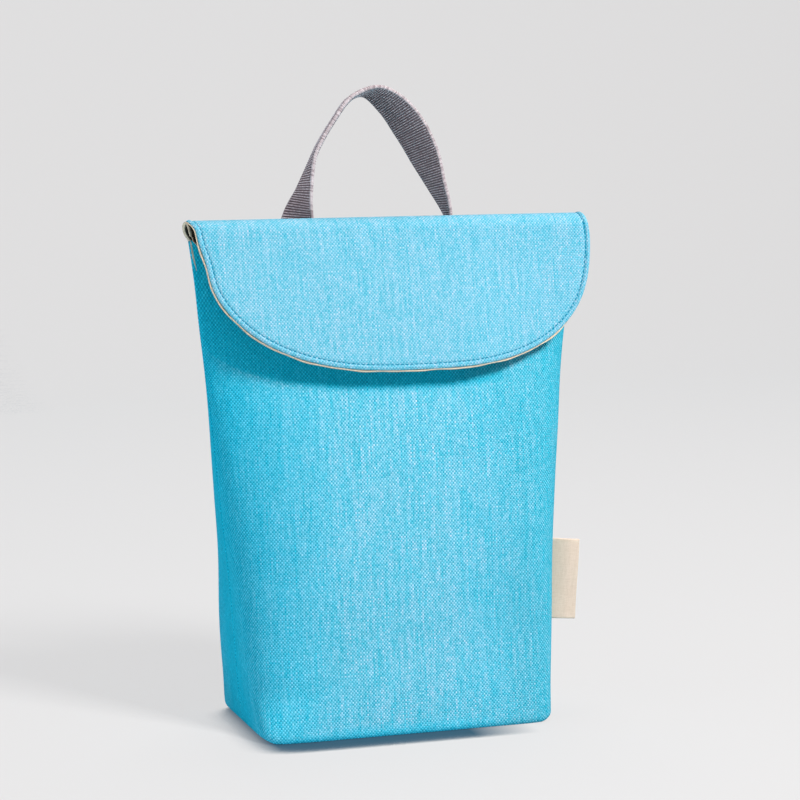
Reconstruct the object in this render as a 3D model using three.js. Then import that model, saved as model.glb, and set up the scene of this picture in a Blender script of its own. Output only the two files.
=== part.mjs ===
// Flap-top diaper bag: two cloth panels sewn into a box-bottomed pouch, a lined flap rolled over its mouth,
// a webbing handle sewn to the back and a blank folded tag in the right side seam.
// Millimetres, +Z up. The front faces -Y and the origin is the middle of the base.
import * as THREE from "three";
import { mergeVertices } from "three/addons/utils/BufferGeometryUtils.js";

// Driving dimensions of the pouch
const MOUTH_HEIGHT = 282;
const CLOTH = 2;
const SEAM_GAP = 0.4;
const BASE_ROLL = 4;

// The pouch from the base edge to the mouth: a box below that closes to a flat lens above.
// flat: how flat the front runs before it turns. round: how full the side is, near 1 for a creased side.
// tipWall: the wall measured along X at the side seam.
const SECTIONS = [
  { z: 4, halfWidth: 92.5, halfDepth: 46.5, flat: 20, round: 20, tipWall: 2 },
  { z: 40, halfWidth: 94.5, halfDepth: 46, flat: 14, round: 12, tipWall: 2 },
  { z: 90, halfWidth: 98.5, halfDepth: 43, flat: 8, round: 6, tipWall: 2 },
  { z: 140, halfWidth: 104, halfDepth: 37.5, flat: 5.2, round: 3.6, tipWall: 2.1 },
  { z: 190, halfWidth: 109.5, halfDepth: 30, flat: 4, round: 2.4, tipWall: 2.5 },
  { z: 230, halfWidth: 114.5, halfDepth: 21, flat: 3.2, round: 1.8, tipWall: 3.2 },
  { z: 260, halfWidth: 118, halfDepth: 13, flat: 2.6, round: 1.5, tipWall: 4.2 },
  { z: MOUTH_HEIGHT, halfWidth: 122, halfDepth: 7, flat: 2.4, round: 1.4, tipWall: 5 },
];
const PANEL_COLUMNS = 40;
const PANEL_ROWS = 13;
const ROLL_STEPS = 3;

// Driving dimensions of the flap. It is widest at the fold and hangs a little to the right.
const FOLD_HEIGHT = 306;
const FOLD_RADIUS = 10;
const FOLD_HALF_WIDTH = 126;
const FLAP_NARROWS = { front: 3, back: 8.5, over: 22 };
const FLAP_SHIFT = 2.6;
const FLAP_DROP = 89.5;
const CORNER_SQUARENESS = { left: 2.45, right: 3.05 };
const FRONT_SLOPE = THREE.MathUtils.degToRad(16.5);
const BACK_SLOPE = THREE.MathUtils.degToRad(9);
const BACK_LENGTH = 46;
const FLAP_CLOTH = 1.2;
const LINING_CLOTH = 1;
const LINING_SHOWS = 1;
const PLY_GAP = 0.4;
// At both ends of the fold the lining stands away from the outer cloth.
const END_GAPE = { depth: 3, reach: 26, below: 14, spread: 9 };
const FLAP_COLUMNS = 28;
const BACK_STEPS = 6;
const FRONT_STEPS = 10;
// The last column stops just short of the ends, where the lower edge would run out to nothing.
const END_SHARE = 0.998;

// Driving dimensions of the handle
const WEBBING = { width: 25, thickness: 1.8, steps: 60, columns: 2 };
const SEWN_LIFT = 1.8;

// Driving dimensions of the tag
const TAG = {
  low: 54.5,
  high: 104.5,
  end: 122.5,
  lean: 0.05,
  droop: 2,
  swing: 6,
  cloth: 1,
  layerGap: 0.6,
  clear: 0.6,
  steps: 8,
  lengthShares: [0, 0.35, 0.7, 1],
};

// Fineness of the working: points nearer than MERGE are one point, and PROBE is a short step along the flap.
const MERGE = 1e-3;
const PROBE = 0.05;
const ARC_DIVISIONS = 400;

/** A smooth curve through one table column after another, read at any height. */
function tableReader(rows, key) {
  const columns = Object.keys(rows[0]).filter((name) => name !== key);
  const keys = rows.map((row) => row[key]);
  const values = rows.flatMap((row) => columns.map((name) => row[name]));
  const curve = new THREE.CubicInterpolant(keys, values, columns.length, new Float64Array(columns.length));
  return (at) => {
    const result = curve.evaluate(at);
    return Object.fromEntries(columns.map((name, i) => [name, result[i]]));
  };
}

const sectionAt = tableReader(SECTIONS, "z");

/** The front half of a level section through the pouch, from the right side seam round to the left one. */
class HalfSection extends THREE.Curve {
  constructor(section, z) {
    super();
    this.section = section;
    this.z = z;
    this.arcLengthDivisions = ARC_DIVISIONS;
  }

  getPoint(t, target = new THREE.Vector3()) {
    const { halfWidth, halfDepth, flat, round } = this.section;
    const c = Math.cos(t * Math.PI);
    const s = Math.sin(t * Math.PI);
    const x = halfWidth * Math.sign(c) * Math.abs(c) ** (2 / flat);
    const y = -halfDepth * Math.abs(s) ** (2 / round);
    return target.set(x, Math.min(y, -SEAM_GAP / 2), this.z);
  }
}

/** One level row of points on a panel, for a section drawn in by a wall's thickness. */
function panelRow(z, tipInset, depthInset) {
  const section = { ...sectionAt(Math.max(z, BASE_ROLL)) };
  section.halfWidth -= tipInset;
  section.halfDepth -= depthInset;
  return new HalfSection(section, z).getSpacedPoints(PANEL_COLUMNS);
}

/** All rows of one face of a panel: from the seam under the base, round the soft base edge, to the mouth. */
function panelFace(inside) {
  const wall = inside ? CLOTH : 0;
  const rows = [];
  for (let i = 0; i < ROLL_STEPS; i += 1) {
    const turn = (i / ROLL_STEPS) * (Math.PI / 2);
    const inset = wall + (BASE_ROLL - wall) * (1 - Math.sin(turn));
    const z = wall + (BASE_ROLL - wall) * (1 - Math.cos(turn));
    rows.push(panelRow(z, inset, inset));
  }
  for (let i = 0; i < PANEL_ROWS; i += 1) {
    const z = THREE.MathUtils.lerp(BASE_ROLL, MOUTH_HEIGHT, i / (PANEL_ROWS - 1));
    rows.push(panelRow(z, inside ? sectionAt(z).tipWall : 0, wall));
  }
  const seam = rows[0].map((p) => new THREE.Vector3(p.x, -SEAM_GAP / 2, p.z));
  return [seam, ...rows];
}

/** How far back the pouch reaches at a place across it and a height. */
function pouchDepth(x, z) {
  const { halfWidth, halfDepth, flat, round } = sectionAt(Math.min(z, MOUTH_HEIGHT));
  const share = Math.min(Math.abs(x) / halfWidth, 1);
  return halfDepth * (1 - share ** flat) ** (1 / round);
}

/** A closed cloth solid between two faces that have the same rows and columns of points. */
function clothSolid(outer, inner) {
  const lastRow = outer.length - 1;
  const lastColumn = outer[0].length - 1;
  const positions = [];
  const quad = (a, b, c, d) => {
    for (const p of [a, b, c, a, c, d]) positions.push(p.x, p.y, p.z);
  };
  for (let r = 0; r < lastRow; r += 1) {
    for (let c = 0; c < lastColumn; c += 1) {
      quad(outer[r][c], outer[r + 1][c], outer[r + 1][c + 1], outer[r][c + 1]);
      quad(inner[r][c], inner[r][c + 1], inner[r + 1][c + 1], inner[r + 1][c]);
    }
    quad(outer[r][0], inner[r][0], inner[r + 1][0], outer[r + 1][0]);
    quad(outer[r][lastColumn], outer[r + 1][lastColumn], inner[r + 1][lastColumn], inner[r][lastColumn]);
  }
  for (let c = 0; c < lastColumn; c += 1) {
    quad(outer[0][c], outer[0][c + 1], inner[0][c + 1], inner[0][c]);
    quad(outer[lastRow][c], inner[lastRow][c], inner[lastRow][c + 1], outer[lastRow][c + 1]);
  }
  const loose = new THREE.BufferGeometry();
  loose.setAttribute("position", new THREE.Float32BufferAttribute(positions, 3));
  const geometry = mergeVertices(loose, MERGE);
  const kept = [];
  const index = geometry.getIndex().array;
  for (let i = 0; i < index.length; i += 3) {
    const [a, b, c] = index.subarray(i, i + 3);
    if (a !== b && b !== c && c !== a) kept.push(a, b, c);
  }
  geometry.setIndex(kept);
  geometry.computeVertexNormals();
  return geometry;
}

/** The flap's side profile: its place along Y and its height, at a length from the top of the fold. */
function flapProfile(x, s) {
  const slope = s > 0 ? FRONT_SLOPE : BACK_SLOPE;
  const bend = Math.PI / 2 - slope;
  const arc = Math.min(Math.abs(s) / FOLD_RADIUS, bend);
  const straight = Math.abs(s) - arc * FOLD_RADIUS;
  const z = FOLD_HEIGHT - FOLD_RADIUS * (1 - Math.cos(arc)) - straight * Math.cos(slope);
  const away = FOLD_RADIUS * Math.sin(arc) + straight * Math.sin(slope);
  if (s > 0) return new THREE.Vector2(-away, z);
  const sewn = THREE.MathUtils.smoothstep(straight, 0, BACK_LENGTH - bend * FOLD_RADIUS);
  const onPouch = pouchDepth(x, z) + FLAP_CLOTH + LINING_CLOTH + 2 * PLY_GAP;
  return new THREE.Vector2(THREE.MathUtils.lerp(away, onPouch, sewn), z);
}

/** A point of the flap at a depth under its outer surface. */
function flapPoint(x, s, depth) {
  const at = flapProfile(x, s);
  const along = flapProfile(x, s + PROBE).sub(flapProfile(x, s - PROBE)).normalize();
  return new THREE.Vector3(x, at.x - along.y * depth, at.y + along.x * depth);
}

/** The length down the front to the rounded lower edge, at a share of the half width from -1 to 1. */
function flapFrontLength(share, drop) {
  const squareness = share < 0 ? CORNER_SQUARENESS.left : CORNER_SQUARENESS.right;
  const fall = drop * (1 - Math.abs(share) ** squareness) ** (1 / squareness);
  const bend = Math.PI / 2 - FRONT_SLOPE;
  const foldFall = FOLD_RADIUS * (1 - Math.cos(bend));
  if (fall < foldFall) return FOLD_RADIUS * Math.acos(1 - fall / FOLD_RADIUS);
  return bend * FOLD_RADIUS + (fall - foldFall) / Math.cos(FRONT_SLOPE);
}

/** The place across the bag of a share of the half width, at a length from the top of the fold. */
function flapAcross(share, s, margin) {
  const below = THREE.MathUtils.smoothstep(s, 0, FLAP_NARROWS.over);
  const behind = THREE.MathUtils.clamp(-s / BACK_LENGTH, 0, 1);
  const narrows = FLAP_NARROWS.front * below + FLAP_NARROWS.back * behind;
  return share * (FOLD_HALF_WIDTH + margin - narrows) + FLAP_SHIFT * below;
}

/** How far the lining stands off the outer cloth near the ends of the fold. */
function endGape(share, s) {
  const { depth, reach, below, spread } = END_GAPE;
  const fromEnd = (1 - Math.abs(share)) * FOLD_HALF_WIDTH;
  const nearEnd = 1 - THREE.MathUtils.smoothstep(fromEnd, 0, reach);
  return depth * nearEnd * Math.exp(-(((Math.abs(s) - below) / spread) ** 2));
}

/** One face of a flap ply. margin widens its outline, and depthAt gives how deep it lies. */
function flapFace(margin, depthAt) {
  const shares = Array.from(
    { length: FLAP_COLUMNS + 1 },
    (_, i) => END_SHARE * Math.sin((i / FLAP_COLUMNS - 0.5) * Math.PI),
  );
  const rows = [];
  for (let r = -BACK_STEPS; r <= FRONT_STEPS; r += 1) {
    rows.push(shares.map((share) => {
      const s = r < 0
        ? (BACK_LENGTH * r) / BACK_STEPS
        : (flapFrontLength(share, FLAP_DROP + margin) * r) / FRONT_STEPS;
      return flapPoint(flapAcross(share, s, margin), s, depthAt(share, s));
    }));
  }
  return rows;
}

// The handle's centre line and how its width lies, from the left sewn end over the arch to the right one.
// turn: the width's direction about the upright, 0 with the width running front to back, 90 flat to the back.
// lean: how far the front edge is tipped up. Both in degrees.
const HANDLE_STATIONS = [
  { x: -53, y: onBack(-53, 220), z: 220, turn: 95, lean: 0 },
  { x: -53, y: onBack(-53, 246), z: 246, turn: 95, lean: 0 },
  { x: -51.5, y: 19.6, z: 276, turn: 70, lean: 0 },
  { x: -48.3, y: 24, z: 305, turn: 30, lean: 4 },
  { x: -44, y: 25, z: 321, turn: 7, lean: 4 },
  { x: -37, y: 27, z: 342, turn: -8, lean: 2 },
  { x: -25, y: 30, z: 361, turn: -13, lean: 1 },
  { x: -12, y: 32.5, z: 376, turn: -10, lean: 4 },
  { x: 1, y: 33.5, z: 380, turn: 4, lean: 14 },
  { x: 14, y: 33, z: 372, turn: 18, lean: 22 },
  { x: 25, y: 31, z: 358, turn: 28, lean: 23 },
  { x: 34, y: 29, z: 341, turn: 22, lean: 20 },
  { x: 41, y: 26.5, z: 323, turn: 3, lean: 14 },
  { x: 47.7, y: 24.5, z: 305, turn: -12, lean: 7 },
  { x: 51.5, y: 20, z: 276, turn: -62, lean: 0 },
  { x: 53, y: onBack(53, 246), z: 246, turn: -95, lean: 0 },
  { x: 53, y: onBack(53, 220), z: 220, turn: -95, lean: 0 },
];

/** Where the middle of the webbing lies on the back of the pouch. */
function onBack(x, z) {
  return pouchDepth(x, z) + SEWN_LIFT;
}

/** The webbing as a ribbon swept along its stations, one face on each side of the centre line. */
function handleFaces() {
  const { width, thickness, steps, columns } = WEBBING;
  const places = HANDLE_STATIONS.map((row) => new THREE.Vector3(row.x, row.y, row.z));
  const angles = HANDLE_STATIONS.map((row) => new THREE.Vector3(row.turn, row.lean, 0));
  const centre = new THREE.CatmullRomCurve3(places);
  const twist = new THREE.CatmullRomCurve3(angles);
  const outer = [];
  const inner = [];
  for (let i = 0; i <= steps; i += 1) {
    const t = i / steps;
    const at = centre.getPoint(t);
    const along = centre.getTangent(t);
    const { x: turn, y: lean } = twist.getPoint(t).multiplyScalar(THREE.MathUtils.DEG2RAD);
    const across = new THREE.Vector3().setFromSphericalCoords(1, Math.PI / 2 - lean, turn);
    across.set(across.x, -across.z, across.y);
    across.addScaledVector(along, -across.dot(along)).normalize();
    const normal = new THREE.Vector3().crossVectors(along, across);
    const row = (side) => Array.from({ length: columns + 1 }, (_, c) => at.clone()
      .addScaledVector(across, (c / columns - 0.5) * width)
      .addScaledVector(normal, (side * thickness) / 2));
    outer.push(row(1));
    inner.push(row(-1));
  }
  return [outer, inner];
}

/** The folded tape of the tag: the front layer out from the seam, round the fold, and the back layer home. */
function tagFaces() {
  const { low, high, end, lean, droop, swing, cloth, layerGap, clear, steps, lengthShares } = TAG;
  const middle = (low + high) / 2;
  const face = (side) => {
    const rows = [];
    for (let i = 0; i <= steps; i += 1) {
      const z = THREE.MathUtils.lerp(high, low, i / steps);
      const root = sectionAt(z).halfWidth + clear;
      const tip = end + lean * (z - middle);
      const bend = (layerGap + cloth) / 2;
      const radius = bend + (side * cloth) / 2;
      const layer = lengthShares.map((share) => new THREE.Vector3(
        THREE.MathUtils.lerp(root, tip, share),
        -swing * share ** 2,
        z - droop * share,
      ));
      const apart = new THREE.Vector3(0, radius, 0);
      const front = layer.map((p) => p.clone().sub(apart));
      const fold = layer.at(-1).clone().setX(tip + radius);
      const back = layer.toReversed().map((p) => p.clone().add(apart));
      rows.push([...front, fold, ...back]);
    }
    return rows;
  };
  return [face(1), face(-1)];
}

/** A named piece with its own finish. */
function piece(name, geometry, colour, roughness) {
  const material = new THREE.MeshStandardMaterial({ color: colour, roughness, metalness: 0 });
  const mesh = new THREE.Mesh(geometry, material);
  mesh.name = name;
  return mesh;
}

const panelGeometry = clothSolid(panelFace(false), panelFace(true));
const frontPanel = piece("front_panel", panelGeometry, 0x64c6e4, 0.85);
const backPanel = piece("back_panel", panelGeometry, 0x5cc0e0, 0.85);
backPanel.rotation.z = Math.PI;

const liningDepth = FLAP_CLOTH + PLY_GAP;
const flapOuter = piece(
  "flap_outer",
  clothSolid(flapFace(0, () => 0), flapFace(0, () => FLAP_CLOTH)),
  0x86d4ee,
  0.85,
);
const flapLining = piece(
  "flap_lining",
  clothSolid(
    flapFace(LINING_SHOWS, (share, s) => liningDepth + endGape(share, s)),
    flapFace(LINING_SHOWS, (share, s) => liningDepth + endGape(share, s) + LINING_CLOTH),
  ),
  0xe6dccb,
  0.9,
);
const handleStrap = piece("handle_strap", clothSolid(...handleFaces()), 0x9a949c, 0.9);
const labelTag = piece("label_tag", clothSolid(...tagFaces()), 0xe9e0d0, 0.8);

const bag = new THREE.Group();
bag.add(frontPanel, backPanel, flapOuter, flapLining, handleStrap, labelTag);

export default bag;
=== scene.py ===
"""Dresses the flap-top diaper bag: heathered cloth pouch, lined flap, webbing handle and blank tag.

Sizes are millimetres in the bag's own frame, with +Z up and the front towards -Y, and meshes are made in
metres. Finishes and flat cuts are in metres throughout, and colours are linear. A pair of places holds where
a change begins and where it is full.
"""
import logging
import math
from dataclasses import dataclass, field, replace
from enum import Enum

import bpy
import numpy as np
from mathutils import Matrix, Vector


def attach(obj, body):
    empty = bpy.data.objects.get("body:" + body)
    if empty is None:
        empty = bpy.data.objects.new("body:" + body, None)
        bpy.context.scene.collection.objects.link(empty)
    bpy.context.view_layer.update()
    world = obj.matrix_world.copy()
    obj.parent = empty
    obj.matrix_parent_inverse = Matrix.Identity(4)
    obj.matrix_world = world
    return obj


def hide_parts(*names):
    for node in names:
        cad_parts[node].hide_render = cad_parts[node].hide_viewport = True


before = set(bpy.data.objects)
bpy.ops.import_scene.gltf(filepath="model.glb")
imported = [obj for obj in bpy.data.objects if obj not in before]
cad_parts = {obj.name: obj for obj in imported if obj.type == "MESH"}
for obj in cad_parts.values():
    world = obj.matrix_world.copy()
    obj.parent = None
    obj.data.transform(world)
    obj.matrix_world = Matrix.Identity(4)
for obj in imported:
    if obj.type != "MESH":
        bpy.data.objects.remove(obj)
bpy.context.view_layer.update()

BODY = "root"
MM = 0.001
FLAT_MAP = "flat_cloth"
# Painted shade: the faces of the lining plies that face each other take a dark colour.
PLY_GAP_SHADE = "painted_gap_shade"
# Painted shadow of the flap on the pouch cloth.
LIP_SHADOW = "painted_lip_shadow"
WHITE = (1, 1, 1, 1)
TINY = 1e-9
SAME_PLACE = 1e-2

log = logging.getLogger("diaper_bag")
Array = np.ndarray
Piece = bpy.types.Object
Material = bpy.types.Material
Node = bpy.types.Node
Tree = bpy.types.NodeTree
Socket = bpy.types.NodeSocket
Sockets = bpy.types.bpy_prop_collection
Span = tuple[float, float]
Colour = tuple[float, float, float, float]
Paths = list[tuple[Array, Array]]


class Half(Enum):
    """The two pouch panels, with the sign of Y that each one takes."""

    FRONT = -1
    BACK = 1


class End(Enum):
    """The left and the right end of the bag, with the sign of X."""

    LEFT = -1
    RIGHT = 1


class TreeKind(Enum):
    """The kinds of node group that are built here."""

    SHADER = "ShaderNodeTree"
    GEOMETRY = "GeometryNodeTree"


class SocketKind(Enum):
    """The kinds of socket that those groups have."""

    NUMBER = "NodeSocketFloat"
    WHOLE = "NodeSocketInt"
    VECTOR = "NodeSocketVector"
    GEOMETRY = "NodeSocketGeometry"
    MATERIAL = "NodeSocketMaterial"


def table(*rows: tuple[float, ...]) -> Array:
    """A dataclass field that holds a table of numbers."""
    return field(default_factory=lambda: np.array(rows, dtype=float))


def ends(left: float, right: float) -> dict[End, float]:
    """A dataclass field that holds one number for each end of the bag."""
    return field(default_factory=lambda: {End.LEFT: left, End.RIGHT: right})


def stitch_sizes(pitch: float, length: float, width: float, height: float) -> dict[str, float]:
    """A dataclass field that holds the sizes of one stitch."""
    return field(default_factory=lambda: {"Pitch": pitch, "Length": length, "Width": width, "Height": height})


def smoothstep(at: Array, low: float, high: float) -> Array:
    """Eases from 0 at low to 1 at high."""
    t = np.clip((at - low) / (high - low), 0, 1)
    return t * t * (3 - 2 * t)


def bell(at: Array, middle: float, spread: float) -> Array:
    """A smooth bump of height 1 about a middle."""
    return np.exp(-(((at - middle) / spread) ** 2))


def unit(vectors: Array) -> Array:
    """Scales vectors to length 1."""
    return vectors / np.maximum(np.linalg.norm(vectors, axis=-1, keepdims=True), TINY)


def turned_edge(inset: Array, radius: float) -> Array:
    """How far a surface turns away at distances from its edge, where the edge is rounded by a radius."""
    short = radius - np.minimum(inset, radius)
    return radius - np.sqrt(np.maximum(radius**2 - short**2, 0))


def rounded_quarter(flat: float, full: float, count: int) -> tuple[Array, Array]:
    """A quarter of a rounded rectangle whose half sides are 1.

    Args:
        flat: how flat its upper side runs, 2 for a circle.
        full: how full its right side is, 2 for a circle.
        count: points for each of the two sides.

    Returns:
        Shares across and shares up, from the right side to the middle of the upper one.
    """
    share = np.linspace(0, 1, count)
    turn = np.unique(np.concatenate([np.arccos(share ** (flat / 2)), np.arcsin(share ** (full / 2))]))
    return np.maximum(np.cos(turn), 0) ** (2 / flat), np.maximum(np.sin(turn), 0) ** (2 / full)


def smooth_rows(keys: Array, values: Array, at: Array) -> Array:
    """Reads a table between its rows on a smooth curve.

    Args:
        keys: rising key of each row.
        values: one row of numbers for each key.
        at: keys to read at.

    Returns:
        One row of numbers for each place in at.
    """
    step = np.diff(keys)[:, None]
    secant = np.diff(values, axis=0) / step
    slope = np.concatenate([secant[:1], (secant[:-1] + secant[1:]) / 2, secant[-1:]])
    i = np.clip(np.searchsorted(keys, at, side="right") - 1, 0, len(keys) - 2)
    h = step[i]
    t = (at - keys[i])[:, None] / h
    start = (2 * t**3 - 3 * t**2 + 1) * values[i] + (t**3 - 2 * t**2 + t) * h * slope[i]
    end = (3 * t**2 - 2 * t**3) * values[i + 1] + (t**3 - t**2) * h * slope[i + 1]
    return start + end


def root_distance(start: Array, end: Array) -> Array:
    """Square roots of the distances between points, which space the stations of a centripetal curve."""
    return np.sqrt(np.linalg.norm(end - start, axis=1, keepdims=True))


def even_curve(stations: Array, count: int) -> Array:
    """Runs a centripetal curve through stations.

    Args:
        stations: points that the curve passes through.
        count: points to return, evenly spread over the stations' order.

    Returns:
        The points of the curve.
    """
    first = 2 * stations[0] - stations[1]
    last = 2 * stations[-1] - stations[-2]
    padded = np.vstack([first, stations, last])
    place = np.linspace(0, len(stations) - 1, count)
    i = np.minimum(place.astype(int), len(stations) - 2)
    t = (place - i)[:, None]
    p0, p1, p2, p3 = (padded[i + k] for k in range(4))
    d0, d1, d2 = root_distance(p0, p1), root_distance(p1, p2), root_distance(p2, p3)
    d1 = np.where(d1 < SAME_PLACE, 1.0, d1)
    d0 = np.where(d0 < SAME_PLACE, d1, d0)
    d2 = np.where(d2 < SAME_PLACE, d1, d2)
    m1 = d1 * ((p1 - p0) / d0 - (p2 - p0) / (d0 + d1) + (p2 - p1) / d1)
    m2 = d1 * ((p2 - p1) / d1 - (p3 - p1) / (d1 + d2) + (p3 - p2) / d2)
    cubic = (2 * p1 - 2 * p2 + m1 + m2) * t**3 + (3 * p2 - 3 * p1 - 2 * m1 - m2) * t**2
    return cubic + m1 * t + p1


def path_length(points: Array) -> Array:
    """Length along a line of points, from 0 at the first one."""
    steps = np.linalg.norm(np.diff(points, axis=0), axis=1)
    return np.concatenate([[0.0], np.cumsum(steps)])


def along_path(points: Array, lengths: Array) -> Array:
    """Points of a line at given lengths from its start."""
    run = path_length(points)
    return np.stack([np.interp(lengths, run, points[:, k]) for k in range(points.shape[1])], axis=1)


@dataclass
class Topology:
    """How the points of one cloth face are joined.

    Attributes:
        faces: four point numbers a face, turning the same way.
        border: point numbers round the rim, in order.
        inside: for each border point, its nearest point away from the rim.
    """

    faces: Array
    border: Array
    inside: Array


def quads(number: Array) -> Array:
    """Four point numbers for each face of a numbered grid."""
    corners = [number[:-1, :-1], number[1:, :-1], number[1:, 1:], number[:-1, 1:]]
    return np.stack(corners, axis=-1).reshape(-1, 4)


def round_rim(number: Array) -> Array:
    """Point numbers round the rim of a numbered grid."""
    return np.concatenate([number[:-1, 0], number[-1, :-1], number[:0:-1, -1], number[0, :0:-1]])


def grid_topology(rows: int, columns: int) -> Topology:
    """Joins a plain grid of points.

    Args:
        rows: number of rows.
        columns: number of columns.

    Returns:
        The joined grid, whose points are numbered row by row.
    """
    number = np.arange(rows * columns).reshape(rows, columns)
    core = np.pad(number[1:-1, 1:-1], 1, mode="edge")
    return Topology(quads(number), round_rim(number), round_rim(core))


def face_crosses(points: Array, joined: Topology) -> Array:
    """For each face a vector along its normal, twice as long as its area."""
    corner = points[joined.faces]
    return np.cross(corner[:, 2] - corner[:, 0], corner[:, 3] - corner[:, 1])


def surface_normals(points: Array, joined: Topology) -> Array:
    """Averages the faces' normals at their points.

    Args:
        points: points of the face.
        joined: how they are joined.

    Returns:
        A unit normal for each point.
    """
    across = face_crosses(points, joined)
    total = np.zeros_like(points)
    for corner in joined.faces.T:
        np.add.at(total, corner, across)
    return unit(total)


def face_area(points: Array, joined: Topology) -> float:
    """Area of a joined face in square metres, for points in millimetres."""
    return float(np.linalg.norm(face_crosses(points * MM, joined), axis=1).sum() / 2)


def placed(name: str, data: bpy.types.ID) -> Piece:
    """Puts a mesh, a lamp or a camera into the scene, at the origin.

    Args:
        name: name of the object.
        data: what it shows.

    Returns:
        The new object.
    """
    piece = bpy.data.objects.new(name, data)
    bpy.context.scene.collection.objects.link(piece)
    return piece


def mark(mesh: bpy.types.Mesh, name: str, values: Array) -> None:
    """Stores a named number at each point of a mesh."""
    mesh.attributes.new(name, "FLOAT", "POINT").data.foreach_set("value", values.astype(np.float32))


def cloth_wall(name: str, outer: Array, inner: Array, flat: Array, joined: Topology, bulge: float) -> Piece:
    """Makes a closed cloth wall between two faces, with a rounded rim.

    Args:
        name: name of the piece.
        outer: points of the outer face, in millimetres.
        inner: points of the inner face, in the same order.
        flat: place of each point on the flat cloth, in millimetres.
        joined: how the points are joined.
        bulge: how far the middle of the rim stands out.

    Returns:
        The new object, at the origin, with its flat map.
    """
    count = len(outer)
    border = joined.border
    outward = unit(outer[border] - outer[joined.inside])
    rim = (outer[border] + inner[border]) / 2 + bulge * outward
    points = np.vstack([outer, inner, rim]) * MM
    rim_number = 2 * count + np.arange(len(border))
    ahead = np.roll(border, -1)
    rim_ahead = np.roll(rim_number, -1)
    upper = np.stack([ahead, border, rim_number, rim_ahead], axis=1)
    lower = np.stack([rim_ahead, rim_number, border + count, ahead + count], axis=1)
    faces = np.vstack([joined.faces, joined.faces[:, ::-1] + count, upper, lower])
    mesh = bpy.data.meshes.new(name)
    mesh.from_pydata(points.tolist(), [], faces.tolist())
    spread = np.vstack([flat, flat, flat[border]]) * MM
    layer = mesh.uv_layers.new(name=FLAT_MAP)
    layer.uv.foreach_set("vector", spread[faces.ravel()].astype(np.float32).ravel())
    mesh.shade_smooth()
    mesh.validate()
    return placed(name, mesh)


def joined_pieces(name: str, pieces: list[Piece]) -> Piece:
    """Joins plain mesh objects into one.

    Args:
        name: name of the joined piece.
        pieces: objects to join, which are used up.

    Returns:
        The joined object.
    """
    with bpy.context.temp_override(active_object=pieces[0], selected_editable_objects=pieces):
        bpy.ops.object.join()
    pieces[0].name = name
    pieces[0].data.name = name
    return pieces[0]


def dress(piece: Piece, material: Material) -> None:
    """Gives a piece one material."""
    piece.data.materials.clear()
    piece.data.materials.append(material)


def settle(piece: Piece, slot: str, *nodes: str) -> None:
    """Puts a piece on the bag's body.

    Args:
        piece: the piece.
        slot: not used.
        nodes: plain solids that it stands for, which are hidden.
    """
    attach(piece, BODY)
    if nodes:
        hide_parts(*nodes)


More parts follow.
